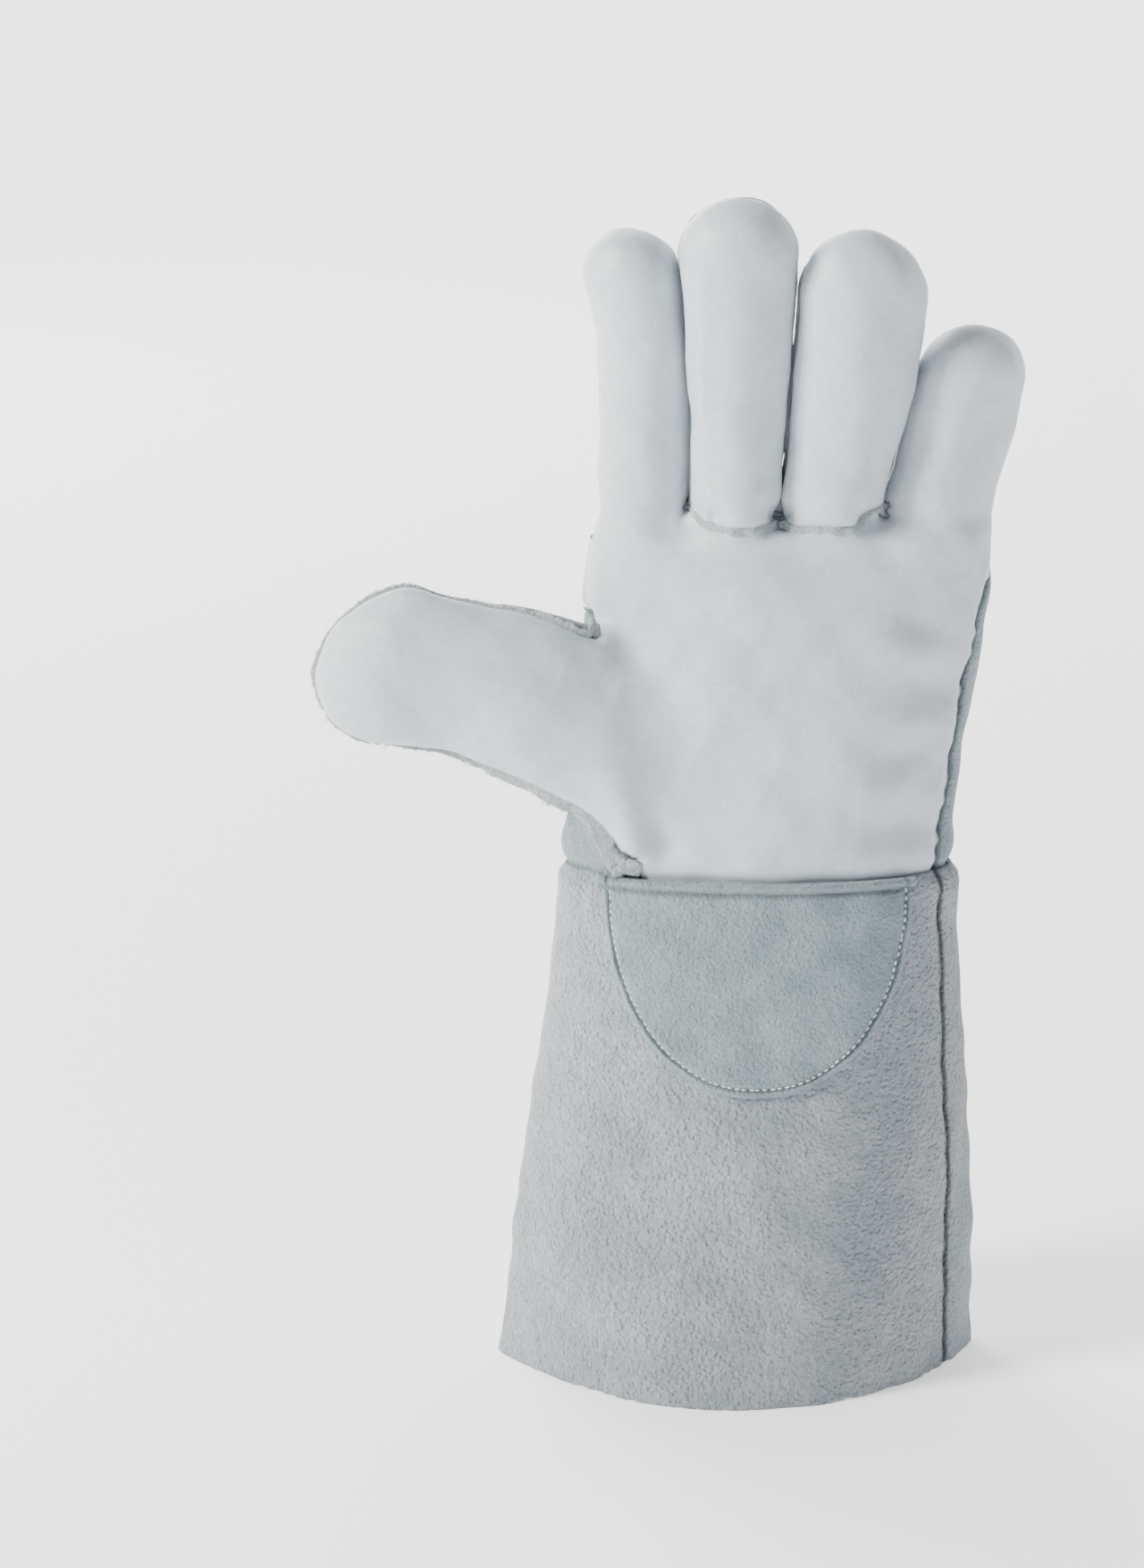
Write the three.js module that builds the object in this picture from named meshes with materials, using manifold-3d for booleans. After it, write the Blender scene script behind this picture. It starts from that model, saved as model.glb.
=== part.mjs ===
// A left-hand leather welding gauntlet that stands on its cuff, as a set of sewn leather panels.
// Millimetres, +Z up, palm towards -Y, thumb towards -X, little finger towards +X.
// The origin is the centre of the cuff's mouth, on the surface that the rim stands on.
import * as THREE from "three";
import { mergeVertices } from "three/addons/utils/BufferGeometryUtils.js";
import Module from "manifold-3d";

const wasm = await Module();
wasm.setup();

// Leather and sewing
const handWall = 1.4; // the grain and suede panels of the hand
const cuffWall = 1.8;
const patchWall = 1.3;
const weltWall = 1.2;
const weltReach = 3; // how far the raw welt stands out of the thumb seam
const baseWeltWall = 1.3;
const baseWeltReach = 1.2;
const seamGap = 0.3; // clear space between two pieces that are sewn together
const fingerGap = 0.8; // clear space between two fingers that press on each other
const fourchetteWidth = 14; // side wall of a finger, front seam to back seam

// Cuff
const cuffHeight = 152;
const mouthWidth = 143;
const mouthDepth = 103;
const wristWidth = 115;
const wristDepth = 50;
const wristShift = 5.5; // the wrist's middle lies this far towards the little finger
const tuckDepth = 10; // hand leather that goes down inside the cuff
const mouthRoundness = 1.25; // 2 is an ellipse; less is drawn to a point at the two side seams
const mouthTwist = 3; // degrees that the mouth is turned from the wrist, its little finger side back
const littleSideBulge = 1.4; // the little finger side bows out this much halfway up
const patchWidth = 90;
const patchHeight = 61.5;

// Hand
const palmHeight = 104; // cuff edge to the crotches of the fingers
const palmWidth = 115;
const palmDepth = 52;
const seamFore = 9; // the little finger side seam lies this far in front of the palm's middle
const backSeamInset = 8; // the thumb side seam of the back, in from the palm's outline

// Fingers: length runs from the crotches to the tip
const fingerSizes = {
  index: { length: 81.5, width: 30, depth: 28 },
  middle: { length: 92, width: 34, depth: 29 },
  ring: { length: 83, width: 36.5, depth: 29 },
  little: { length: 54.5, width: 31, depth: 26 },
};

// Thumb: length runs from the palm's side to the tip
const thumbLength = 82;
const thumbWidth = 45.6;
const thumbDepth = 25;
const thumbLift = 13; // degrees above level
const thumbSeamFore = 19; // the thumb's flat seam lies this far in front of the palm's middle

// How finely round sections are divided
const fingerSides = 20;
const palmSides = 36;
const cuffSides = 40;
const tipRings = 4;

const far = 400; // well outside the glove, for cutting blocks
const crotchHeight = cuffHeight + palmHeight;

// Palm sections. up: share of palmHeight; wide and side: shares of palmWidth; deep and fore: shares of palmDepth.
const palmTable = [
  { up: 0.08, wide: 0.965, deep: 0.92, side: 0.043, fore: 0.0 },
  { up: 0.29, wide: 0.985, deep: 1.0, side: 0.068, fore: 0.0 },
  { up: 0.48, wide: 0.99, deep: 1.0, side: 0.083, fore: 0.0 },
  { up: 0.65, wide: 1.0, deep: 0.96, side: 0.107, fore: 0.02 },
  { up: 0.83, wide: 0.99, deep: 0.83, side: 0.113, fore: 0.05 },
  { up: 0.94, wide: 0.97, deep: 0.67, side: 0.12, fore: 0.085 },
  { up: 1.0, wide: 0.92, deep: 0.5, side: 0.12, fore: 0.1 },
  { up: 1.02, wide: 0.84, deep: 0.34, side: 0.12, fore: 0.1 },
];

// Where each finger's middle meets the crotch line, as a share of palmWidth
const fingerPlace = { index: -0.239, middle: -0.033, ring: 0.203, little: 0.489 };
const fingerNames = ["index", "middle", "ring", "little"];

// Finger sections. along: share of length; wide and side: shares of width; deep and fore: shares of depth.
const fingerTables = {
  index: [
    { along: -0.28, wide: 0.84, deep: 0.84, side: 0.0, fore: 0.05 },
    { along: 0.0, wide: 0.92, deep: 0.96, side: 0.0, fore: 0.07 },
    { along: 0.29, wide: 0.93, deep: 1.0, side: -0.005, fore: 0.09 },
    { along: 0.64, wide: 0.93, deep: 1.0, side: -0.03, fore: 0.12 },
    { along: 0.86, wide: 1.0, deep: 1.0, side: -0.16, fore: 0.2 },
    { along: 1.0, wide: 1.0, deep: 1.0, side: -0.2, fore: 0.3 },
  ],
  middle: [
    { along: -0.25, wide: 0.7, deep: 0.84, side: 0.0, fore: 0.23 },
    { along: 0.0, wide: 0.8, deep: 0.94, side: 0.0, fore: 0.28 },
    { along: 0.22, wide: 0.81, deep: 0.97, side: 0.047, fore: 0.31 },
    { along: 0.5, wide: 0.895, deep: 1.0, side: 0.041, fore: 0.35 },
    { along: 0.78, wide: 1.0, deep: 1.0, side: 0.026, fore: 0.45 },
    { along: 1.0, wide: 1.0, deep: 1.0, side: 0.02, fore: 0.55 },
  ],
  ring: [
    { along: -0.27, wide: 0.66, deep: 0.84, side: -0.02, fore: 0.23 },
    { along: 0.0, wide: 0.8, deep: 0.94, side: 0.0, fore: 0.29 },
    { along: 0.26, wide: 0.9, deep: 0.98, side: 0.107, fore: 0.32 },
    { along: 0.57, wide: 1.0, deep: 1.0, side: 0.211, fore: 0.38 },
    { along: 0.77, wide: 1.0, deep: 1.0, side: 0.25, fore: 0.45 },
    { along: 1.0, wide: 1.0, deep: 1.0, side: 0.23, fore: 0.55 },
  ],
  little: [
    { along: -0.4, wide: 0.86, deep: 0.86, side: -0.08, fore: 0.07 },
    { along: 0.0, wide: 1.02, deep: 0.96, side: -0.05, fore: 0.08 },
    { along: 0.2, wide: 1.06, deep: 1.0, side: 0.01, fore: 0.09 },
    { along: 0.48, wide: 1.06, deep: 1.0, side: 0.16, fore: 0.12 },
    { along: 0.81, wide: 1.0, deep: 1.0, side: 0.258, fore: 0.22 },
    { along: 1.0, wide: 1.0, deep: 1.0, side: 0.25, fore: 0.3 },
  ],
};

// Thumb sections: along is a share of thumbLength, the rest as for a finger, with side towards the top edge.
const thumbTable = [
  { along: -0.4, wide: 0.8, deep: 0.9, side: -0.3, fore: 0.3 },
  { along: -0.21, wide: 1.3, deep: 1.04, side: -0.25, fore: 0.4 },
  { along: -0.11, wide: 1.14, deep: 1.2, side: -0.17, fore: 0.46 },
  { along: 0.02, wide: 1.18, deep: 1.24, side: -0.02, fore: 0.52 },
  { along: 0.23, wide: 1.05, deep: 1.06, side: 0.055, fore: 0.68 },
  { along: 0.49, wide: 0.98, deep: 1.0, side: 0.11, fore: 0.76 },
  { along: 0.74, wide: 1.0, deep: 1.0, side: 0.09, fore: 0.76 },
  { along: 1.0, wide: 1.0, deep: 0.96, side: 0.0, fore: 0.76 },
];
const tipShare = 0.5; // a rounded tip is this share of the width long

// The row of a table at a place along its first column, by straight lines between rows.
function rowAt(table, key, place) {
  const last = table.length - 1;
  let k = 0;
  while (k < last - 1 && place > table[k + 1][key]) k += 1;
  const [low, high] = [table[k], table[k + 1]];
  const share = THREE.MathUtils.clamp((place - low[key]) / (high[key] - low[key]), 0, 1);
  const row = {};
  for (const name of Object.keys(low)) row[name] = THREE.MathUtils.lerp(low[name], high[name], share);
  return row;
}

// A closed surface through rings of points, each ring counter-clockwise seen from the next one's side.
function loftSolid(rings) {
  const count = rings[0].length;
  const points = rings.flat();
  const faces = [];
  for (let r = 0; r + 1 < rings.length; r += 1) {
    for (let k = 0; k < count; k += 1) {
      const [a, b] = [r * count + k, r * count + ((k + 1) % count)];
      faces.push(a, b, b + count, a, b + count, a + count);
    }
  }
  const [first, last] = [rings[0], rings[rings.length - 1]];
  for (const [ring, base, turned] of [[first, 0, true], [last, points.length - count, false]]) {
    const middle = points.length;
    points.push(ring.reduce((sum, p) => sum.add(p), new THREE.Vector3()).divideScalar(count));
    for (let k = 0; k < count; k += 1) {
      const [a, b] = [base + k, base + ((k + 1) % count)];
      if (turned) faces.push(middle, b, a);
      else faces.push(middle, a, b);
    }
  }
  const geometry = new THREE.BufferGeometry().setFromPoints(points).setIndex(faces);
  return solidOf(geometry);
}

function solidOf(geometry) {
  geometry.deleteAttribute("normal");
  geometry.deleteAttribute("uv");
  const merged = mergeVertices(geometry, 1e-4);
  return new wasm.Manifold(
    new wasm.Mesh({
      numProp: 3,
      vertProperties: merged.attributes.position.array,
      triVerts: new Uint32Array(merged.index.array),
    }),
  );
}

function joined(solids) {
  return solids.reduce((sum, solid) => sum.add(solid));
}

// An upright block between two heights whose four sides move with height.
// edges(z) gives x0, x1, y0 and y1, where y0 and y1 may each be a pair: at x0 and at x1.
function block(heights, edges) {
  const rings = heights.map((z) => {
    const { x0, x1, y0, y1 } = edges(z);
    const [front, back] = [y0, y1].map((y) => (Array.isArray(y) ? y : [y, y]));
    return [
      new THREE.Vector3(x0, front[0], z),
      new THREE.Vector3(x1, front[1], z),
      new THREE.Vector3(x1, back[1], z),
      new THREE.Vector3(x0, back[0], z),
    ];
  });
  return loftSolid(rings);
}

// An outline drawn on the front view, as [x, z] points, pushed through from y0 to y1.
function prism(outline, y0, y1) {
  const shape = new THREE.Shape(outline.map(([x, z]) => new THREE.Vector2(x, z)));
  const geometry = new THREE.ExtrudeGeometry(shape, { depth: y1 - y0, bevelEnabled: false });
  return solidOf(geometry.rotateX(Math.PI / 2).translate(0, y1, 0));
}

// Cuff: an oval tube from the mouth to the wrist. grow moves its surface out, and in if it is negative.
function cuffSection(z) {
  const up = z / cuffHeight;
  const bow = littleSideBulge * 2 * Math.max(0, up * (1 - up));
  return {
    x: wristShift * up + bow,
    halfWidth: THREE.MathUtils.lerp(mouthWidth, wristWidth, up) / 2 + bow,
    halfDepth: THREE.MathUtils.lerp(mouthDepth, wristDepth, up) / 2,
    roundness: THREE.MathUtils.lerp(mouthRoundness, 2, THREE.MathUtils.clamp(up, 0, 1)),
  };
}

function cuffSolid(grow, from, to) {
  const between = [0.2, 0.4, 0.6, 0.8].map((up) => up * cuffHeight);
  const rings = [from, ...between, to].map((z) => {
    const { x, halfWidth, halfDepth, roundness } = cuffSection(z);
    const twist = THREE.MathUtils.degToRad(mouthTwist) * (1 - THREE.MathUtils.clamp(z / cuffHeight, 0, 1));
    const ring = movedOut(ovalRing(cuffSides, x, 0, z, halfWidth, halfDepth, roundness), grow);
    return ring.map((point) => point.applyAxisAngle(new THREE.Vector3(0, 0, 1), twist));
  });
  return loftSolid(rings);
}

// A level ring of points. Below a roundness of 2 its left and right ends are drawn to a point.
function ovalRing(sides, x, y, z, halfWidth, halfDepth, roundness = 2) {
  return Array.from({ length: sides }, (_, k) => {
    const turn = (k / sides) * 2 * Math.PI;
    const back = Math.sign(Math.sin(turn)) * Math.abs(Math.sin(turn)) ** (2 / roundness);
    return new THREE.Vector3(x + halfWidth * Math.cos(turn), y + halfDepth * back, z);
  });
}

// A level ring with each point moved out along the ring's own normal
function movedOut(ring, distance) {
  const count = ring.length;
  return ring.map((point, k) => {
    const along = ring[(k + 1) % count].clone().sub(ring[(k + count - 1) % count]).normalize();
    return new THREE.Vector3(point.x + distance * along.y, point.y - distance * along.x, point.z);
  });
}

// Palm: an oval tube that starts inside the cuff and closes over at the crotches of the fingers.
function palmSection(z) {
  const row = rowAt(palmTable, "up", (z - cuffHeight) / palmHeight);
  return {
    x: row.side * palmWidth,
    y: -row.fore * palmDepth,
    halfWidth: (row.wide * palmWidth) / 2,
    halfDepth: (row.deep * palmDepth) / 2,
  };
}

function palmSolid(grow, bottom = cuffHeight - tuckDepth) {
  const tuckedIn = cuffWall + seamGap - grow;
  const rings = [bottom, cuffHeight].map((z) =>
    movedOut(ovalRing(palmSides, wristShift, 0, z, wristWidth / 2, wristDepth / 2), -tuckedIn),
  );
  for (const { up } of palmTable) {
    const { x, y, halfWidth, halfDepth } = palmSection(cuffHeight + up * palmHeight);
    const z = cuffHeight + up * palmHeight + (up > 0.9 ? grow : 0);
    rings.push(ovalRing(palmSides, x, y, z, halfWidth + grow, halfDepth + grow));
  }
  return loftSolid(rings);
}

// A finger's section at a height: its middle and its half width and depth, shrinking to nothing at the tip.
function fingerSection(name, z, grow = 0) {
  const { length, width, depth } = fingerSizes[name];
  const row = rowAt(fingerTables[name], "along", (z - crotchHeight) / length);
  const tipLength = tipShare * width + grow;
  const intoTip = Math.max(0, z - (crotchHeight + length + grow - tipLength)) / tipLength;
  const rounding = Math.sqrt(Math.max(0, 1 - intoTip * intoTip));
  return {
    x: fingerPlace[name] * palmWidth + row.side * width,
    y: -row.fore * depth,
    halfWidth: ((row.wide * width) / 2 + grow) * rounding,
    halfDepth: ((row.deep * depth) / 2 + grow) * rounding,
  };
}

function fingerHeights(name, grow) {
  const { length, width } = fingerSizes[name];
  const tipLength = tipShare * width + grow;
  const tipStart = crotchHeight + length + grow - tipLength;
  const straight = fingerTables[name]
    .map(({ along }) => crotchHeight + along * length)
    .filter((z) => z < tipStart - 2);
  const rounded = Array.from({ length: tipRings + 1 }, (_, k) => {
    return tipStart + tipLength * Math.sin((k / (tipRings + 0.35)) * (Math.PI / 2));
  });
  return [...straight, ...rounded];
}

// Fingers side by side press flat on each other: a point past the plane between two of them is put back on it.
function fingerSolid(name, grow) {
  const place = fingerNames.indexOf(name);
  const neighbours = [fingerNames[place - 1], fingerNames[place + 1]].filter(Boolean);
  const rings = fingerHeights(name, grow).map((z) => {
    const own = fingerSection(name, z, grow);
    const ring = ovalRing(fingerSides, own.x, own.y, z, own.halfWidth, own.halfDepth);
    const bare = fingerSection(name, z);
    for (const neighbour of neighbours) {
      const other = fingerSection(neighbour, z);
      if (other.halfWidth < 1 || bare.halfWidth < 1) continue;
      const away = new THREE.Vector3(other.x - own.x, other.y - own.y, 0);
      const share = bare.halfWidth / (bare.halfWidth + other.halfWidth);
      const limit = away.length() * share - fingerGap / 2 + grow;
      away.normalize();
      for (const point of ring) {
        const past = (point.x - own.x) * away.x + (point.y - own.y) * away.y - limit;
        if (past > 0) point.addScaledVector(away, -past);
      }
    }
    return ring;
  });
  return loftSolid(rings);
}

// Thumb: its sections stand square to a line that leaves the palm's side and rises by thumbLift.
const thumbAlong = new THREE.Vector3(-1, 0, 0).applyAxisAngle(
  new THREE.Vector3(0, 1, 0),
  THREE.MathUtils.degToRad(thumbLift),
);
const thumbUp = new THREE.Vector3(0, 1, 0).cross(thumbAlong);
const thumbRoot = new THREE.Vector3(-0.365 * palmWidth, 0, cuffHeight + 0.447 * palmHeight);

function thumbSolid(grow) {
  const tipLength = tipShare * thumbWidth + grow;
  const tipStart = thumbLength + grow - tipLength;
  const straight = thumbTable.map(({ along }) => along * thumbLength).filter((s) => s < tipStart - 2);
  const rounded = Array.from({ length: tipRings + 1 }, (_, k) => {
    return tipStart + tipLength * Math.sin((k / (tipRings + 0.35)) * (Math.PI / 2));
  });
  const rings = [...straight, ...rounded].map((s) => {
    const row = rowAt(thumbTable, "along", s / thumbLength);
    const intoTip = Math.max(0, s - tipStart) / tipLength;
    const rounding = Math.sqrt(1 - intoTip * intoTip);
    const middle = thumbRoot.clone().addScaledVector(thumbAlong, s);
    middle.addScaledVector(thumbUp, row.side * thumbWidth);
    middle.y -= row.fore * thumbDepth;
    return Array.from({ length: fingerSides }, (_, k) => {
      const turn = (k / fingerSides) * 2 * Math.PI;
      const up = ((row.wide * thumbWidth) / 2 + grow) * rounding * Math.cos(turn);
      const back = ((row.deep * thumbDepth) / 2 + grow) * rounding * Math.sin(turn);
      return middle.clone().addScaledVector(thumbUp, up).add(new THREE.Vector3(0, back, 0));
    });
  });
  return loftSolid(rings);
}

// The whole hand as one hollow skin, before it is cut into panels
function handSolid(grow, bottom) {
  return joined([palmSolid(grow, bottom), thumbSolid(grow), ...fingerNames.map((name) => fingerSolid(name, grow))]);
}

// The side seams of a finger run this far in front of and behind its middle, and meet near the tip.
const fourchetteDrop = 8; // the side walls end this far below the tip
const webDrop = 3; // the web between two fingers starts this far below the crotches
const webRise = 5; // and ends this far above them
const seamBack = { index: 3, middle: 1, ring: 1, little: 4 }; // the side walls' middle lies this far behind
function seamSpread(name, z) {
  const { length } = fingerSizes[name];
  const top = crotchHeight + length - fourchetteDrop;
  const taper = THREE.MathUtils.clamp((top - z) / (2 * fourchetteDrop), 0, 1);
  return (fourchetteWidth / 2) * Math.sqrt(taper);
}

function seamHeights(name) {
  const { length } = fingerSizes[name];
  const top = crotchHeight + length - fourchetteDrop;
  const steps = [0, 0.2, 0.4, 0.6, 0.8, 0.92, 1];
  const low = crotchHeight - 0.2 * palmHeight;
  return [low, ...steps.map((share) => THREE.MathUtils.lerp(crotchHeight, top, share))];
}

// In front of a finger's front seams
const baseSeamHeight = crotchHeight - 1;
function frontOfFinger(name, grow) {
  const { length } = fingerSizes[name];
  const heights = [...seamHeights(name).filter((z) => z > baseSeamHeight + 2), crotchHeight + length + far];
  return block([baseSeamHeight - grow, ...heights], (z) => {
    const { x, y } = fingerSection(name, z);
    return { x0: x - far, x1: x + far, y0: -far, y1: y + seamBack[name] - seamSpread(name, z) + grow };
  });
}

function fingerFront(name, grow) {
  return fingerSolid(name, grow / 2).intersect(frontOfFinger(name, grow));
}

// The wall of one finger that faces its neighbour: side is +1 towards the little finger, -1 towards the thumb
function fingerSideWall(name, side, grow) {
  const { length } = fingerSizes[name];
  const top = crotchHeight + length - fourchetteDrop;
  const heights = [...seamHeights(name).filter((z) => z > crotchHeight - 4 && z < top - 0.5), top - 0.5 + grow];
  const walls = block([crotchHeight - webDrop - grow, ...heights], (z) => {
    const { x, y, halfWidth } = fingerSection(name, z);
    const near = x + side * (0.3 * halfWidth - grow);
    const spread = Math.max(seamSpread(name, z), 1) + grow;
    const [x0, x1] = [near, x + side * far].sort((a, b) => a - b);
    return { x0, x1, y0: y + seamBack[name] - spread, y1: y + seamBack[name] + spread };
  });
  return fingerSolid(name, grow / 2).intersect(walls);
}

// Two facing walls and the web between them
function fourchette(name, neighbour, grow) {
  const [left, right] = [fingerSection(name, crotchHeight), fingerSection(neighbour, crotchHeight)];
  const y = (left.y + right.y) / 2;
  const web = block([crotchHeight - webDrop - grow, crotchHeight + webRise], () => ({
    x0: left.x + 0.3 * left.halfWidth - grow,
    x1: right.x - 0.3 * right.halfWidth + grow,
    y0: y - fourchetteWidth / 2 - grow,
    y1: y + fourchetteWidth / 2 + grow,
  }));
  const webInHand = palmSolid(grow).intersect(web);
  return joined([fingerSideWall(name, 1, grow), fingerSideWall(neighbour, -1, grow), webInHand]);
}

// Front view of the space that holds the back of the thumb: left of the thumb side seam, below the index finger
const palmLeft = palmSection(cuffHeight + 0.6 * palmHeight);
const thumbSideSeam = palmLeft.x - palmLeft.halfWidth + backSeamInset / 2;
const thumbCrotch = cuffHeight + 0.72 * palmHeight;
const seamRun = 12.5; // at the cuff, the thumb's front seam lies this far further into the palm
function thumbOutline(grow, bottomInset) {
  const seam = thumbSideSeam + grow;
  return [
    [-far, cuffHeight - 2 * tuckDepth],
    [seam + bottomInset, cuffHeight - 2 * tuckDepth],
    [seam + bottomInset * 0.9, cuffHeight + 0.12 * palmHeight],
    [seam + bottomInset * 0.45, cuffHeight + 0.38 * palmHeight],
    [seam, cuffHeight + 0.58 * palmHeight],
    [seam, thumbCrotch + grow],
    [seam - 4, thumbCrotch + 16 + grow],
    [-far, thumbCrotch + 16 + grow],
  ];
}

function thumbBackSpace(grow) {
  const nearSeam = prism(thumbOutline(grow, seamRun), -thumbSeamFore + seamGap - grow, -4);
  const behind = prism(thumbOutline(grow, 0), -5, far);
  return joined([nearSeam, behind]);
}

// The welt lies flat in the thumb seam and stands out of it all the way from the crotch to the cuff.
const weltSpace = weltWall / 2 + seamGap;
function thumbWelt(hollow) {
  const reached = joined([thumbSolid(weltReach), palmSolid(weltReach, cuffHeight + seamGap)]);
  const flat = prism(thumbOutline(0, seamRun), -thumbSeamFore - weltWall / 2, -thumbSeamFore + weltWall / 2);
  const aboveCuff = block([cuffHeight + seamGap, far], () => ({ x0: -far, x1: far, y0: -far, y1: far }));
  return reached.intersect(flat).intersect(aboveCuff).subtract(hollow);
}

function weltSlot() {
  return prism(thumbOutline(seamGap, seamRun), -thumbSeamFore - weltSpace, -thumbSeamFore + weltSpace);
}

const wrapDrop = 26; // the curved seam on the back of the index finger starts this far below the crotches
const wrapRise = 5; // and ends this far above them

// Palm leather: everything in front of the side seams, and all round the index finger above its curved back seam
function palmSpace(grow) {
  const curveTop = crotchHeight - wrapRise + 1;
  const heights = [cuffHeight - 2 * tuckDepth, cuffHeight + 0.6 * palmHeight, curveTop, crotchHeight + wrapRise + seamGap];
  const front = block(heights, (z) => {
    const rise = THREE.MathUtils.smoothstep(z, cuffHeight + 0.7 * palmHeight, curveTop);
    const seam = THREE.MathUtils.lerp(-seamFore, fingerSection("little", crotchHeight).y, rise);
    return { x0: -far, x1: far, y0: -far, y1: seam + grow };
  });
  const littleHeights = seamHeights("little").filter((z) => z > crotchHeight - wrapRise);
  const little = block([...littleHeights, crotchHeight + far], (z) => {
    return { x0: -far, x1: far, y0: -far, y1: fingerSection("little", z).y + grow };
  });
  const littleFront = fingerSolid("little", grow / 2).intersect(little);
  return joined([front, littleFront, indexWrap(grow)]);
}

function indexWrap(grow) {
  const { x, halfWidth } = fingerSection("index", crotchHeight);
  const inner = x + 0.8 * halfWidth;
  const radius = inner - thumbSideSeam + grow;
  const steps = 8;
  const arc = Array.from({ length: steps + 1 }, (_, k) => {
    const turn = (k / steps) * (Math.PI / 2);
    const height = crotchHeight - wrapDrop + (wrapDrop + wrapRise) * Math.sin(turn) - grow;
    return [inner - radius * Math.cos(turn) + 2 * grow, height];
  });
  const beside = [[inner + far / 2, crotchHeight + wrapRise - grow], [inner + far / 2, far], [-far, far]];
  const above = prism([...arc, ...beside, [-far, crotchHeight - wrapDrop - grow]], -far, far);
  const corner = prism([[-far, thumbCrotch], [x, thumbCrotch], [x, far], [-far, far]], -far, far);
  const nearHand = palmSolid(grow).intersect(corner);
  return joined([fingerSolid("index", grow / 2), nearHand]).intersect(above);
}

// A thin roll in the seam under a middle finger
function baseWelt(name) {
  const heights = [baseSeamHeight - seamGap / 2 - baseWeltWall, baseSeamHeight - seamGap / 2];
  const level = block(heights, (z) => {
    const { x, y, halfWidth } = fingerSection(name, z);
    return { x0: x - halfWidth, x1: x + halfWidth, y0: -far, y1: y - fourchetteWidth / 2 };
  });
  const standing = fingerSolid(name, baseWeltReach).intersect(level);
  return standing.subtract(fingerSolid(name, seamGap)).subtract(palmSolid(seamGap));
}

// Cuff panels: the seam at the little finger side shows from the front, the one at the thumb side from behind.
const seamTurn = { little: { top: 0.44, bottom: 0.36 }, thumb: { top: 0.42, bottom: 0.22 } };
function cuffFrontSpace(grow) {
  return block([-1, cuffHeight + 1], (z) => {
    const { halfDepth } = cuffSection(z);
    const up = z / cuffHeight;
    const atThumb = halfDepth * THREE.MathUtils.lerp(seamTurn.thumb.bottom, seamTurn.thumb.top, up);
    const atLittle = -halfDepth * THREE.MathUtils.lerp(seamTurn.little.bottom, seamTurn.little.top, up);
    const reach = mouthWidth / 2;
    return { x0: -reach - 9, x1: reach + 9, y0: -far, y1: [atThumb + grow, atLittle + grow] };
  });
}

function wristPatch() {
  const outer = cuffSolid(seamGap + patchWall, -1, cuffHeight + 1);
  const inner = cuffSolid(seamGap, -2, cuffHeight + 2);
  const steps = 24;
  const roundness = 2.2; // a little squarer than an ellipse
  const edge = Array.from({ length: steps + 1 }, (_, k) => {
    const turn = (k / steps) * Math.PI;
    const [c, s] = [Math.cos(turn), Math.sin(turn)];
    const x = wristShift - 1 + Math.sign(c) * (patchWidth / 2) * Math.abs(c) ** (2 / roundness);
    return [x, cuffHeight - patchHeight * s ** (2 / roundness)];
  });
  return outer.subtract(inner).intersect(prism(edge.reverse(), -far, 0));
}

const materials = {
  grain_leather: { color: 0xccd5da, roughness: 0.5, metalness: 0 },
  hand_suede: { color: 0xb4bfc0, roughness: 0.95, metalness: 0 },
  cuff_split: { color: 0xc2cacd, roughness: 0.95, metalness: 0 },
  raw_edge: { color: 0xbfc6c6, roughness: 1, metalness: 0 },
};

// Cutting one skin along several seams leaves specks where seams meet. The panel is the largest body.
function withoutSpecks(solid) {
  return solid.decompose().reduce((largest, body) => (body.volume() > largest.volume() ? body : largest));
}

function addPiece(glove, name, solid, material) {
  const { numProp, numVert, vertProperties, triVerts } = withoutSpecks(solid).getMesh();
  const positions = new Float32Array(numVert * 3);
  for (let k = 0; k < numVert; k += 1) {
    positions.set(vertProperties.subarray(k * numProp, k * numProp + 3), k * 3);
  }
  const geometry = new THREE.BufferGeometry();
  geometry.setAttribute("position", new THREE.BufferAttribute(positions, 3));
  geometry.setIndex(new THREE.BufferAttribute(triVerts, 1));
  geometry.computeVertexNormals();
  const mesh = new THREE.Mesh(geometry, new THREE.MeshStandardMaterial(materials[material]));
  mesh.name = name;
  glove.add(mesh);
}

function makeGlove() {
  const glove = new THREE.Group();
  const hollow = handSolid(-handWall, cuffHeight - 2 * tuckDepth);
  let skin = handSolid(0).subtract(hollow).subtract(weltSlot());

  const panels = [
    ["middle_front", (grow) => fingerFront("middle", grow), "grain_leather"],
    ["ring_front", (grow) => fingerFront("ring", grow), "grain_leather"],
    ["fourchette_index_middle", (grow) => fourchette("index", "middle", grow), "grain_leather"],
    ["fourchette_middle_ring", (grow) => fourchette("middle", "ring", grow), "grain_leather"],
    ["fourchette_ring_little", (grow) => fourchette("ring", "little", grow), "grain_leather"],
    ["thumb_back", thumbBackSpace, "hand_suede"],
    ["palm", palmSpace, "grain_leather"],
  ];
  for (const [name, space, material] of panels) {
    addPiece(glove, name, skin.intersect(space(0)), material);
    skin = skin.subtract(space(seamGap));
  }
  addPiece(glove, "back", skin, "hand_suede");

  addPiece(glove, "thumb_welt", thumbWelt(hollow), "raw_edge");
  addPiece(glove, "middle_base_welt", baseWelt("middle"), "raw_edge");
  addPiece(glove, "ring_base_welt", baseWelt("ring"), "raw_edge");

  const cuff = cuffSolid(0, 0, cuffHeight).subtract(cuffSolid(-cuffWall, -1, cuffHeight + 1));
  addPiece(glove, "cuff_front", cuff.intersect(cuffFrontSpace(0)), "cuff_split");
  addPiece(glove, "cuff_back", cuff.subtract(cuffFrontSpace(seamGap)), "cuff_split");
  addPiece(glove, "wrist_patch", wristPatch(), "hand_suede");
  return glove;
}

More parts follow.
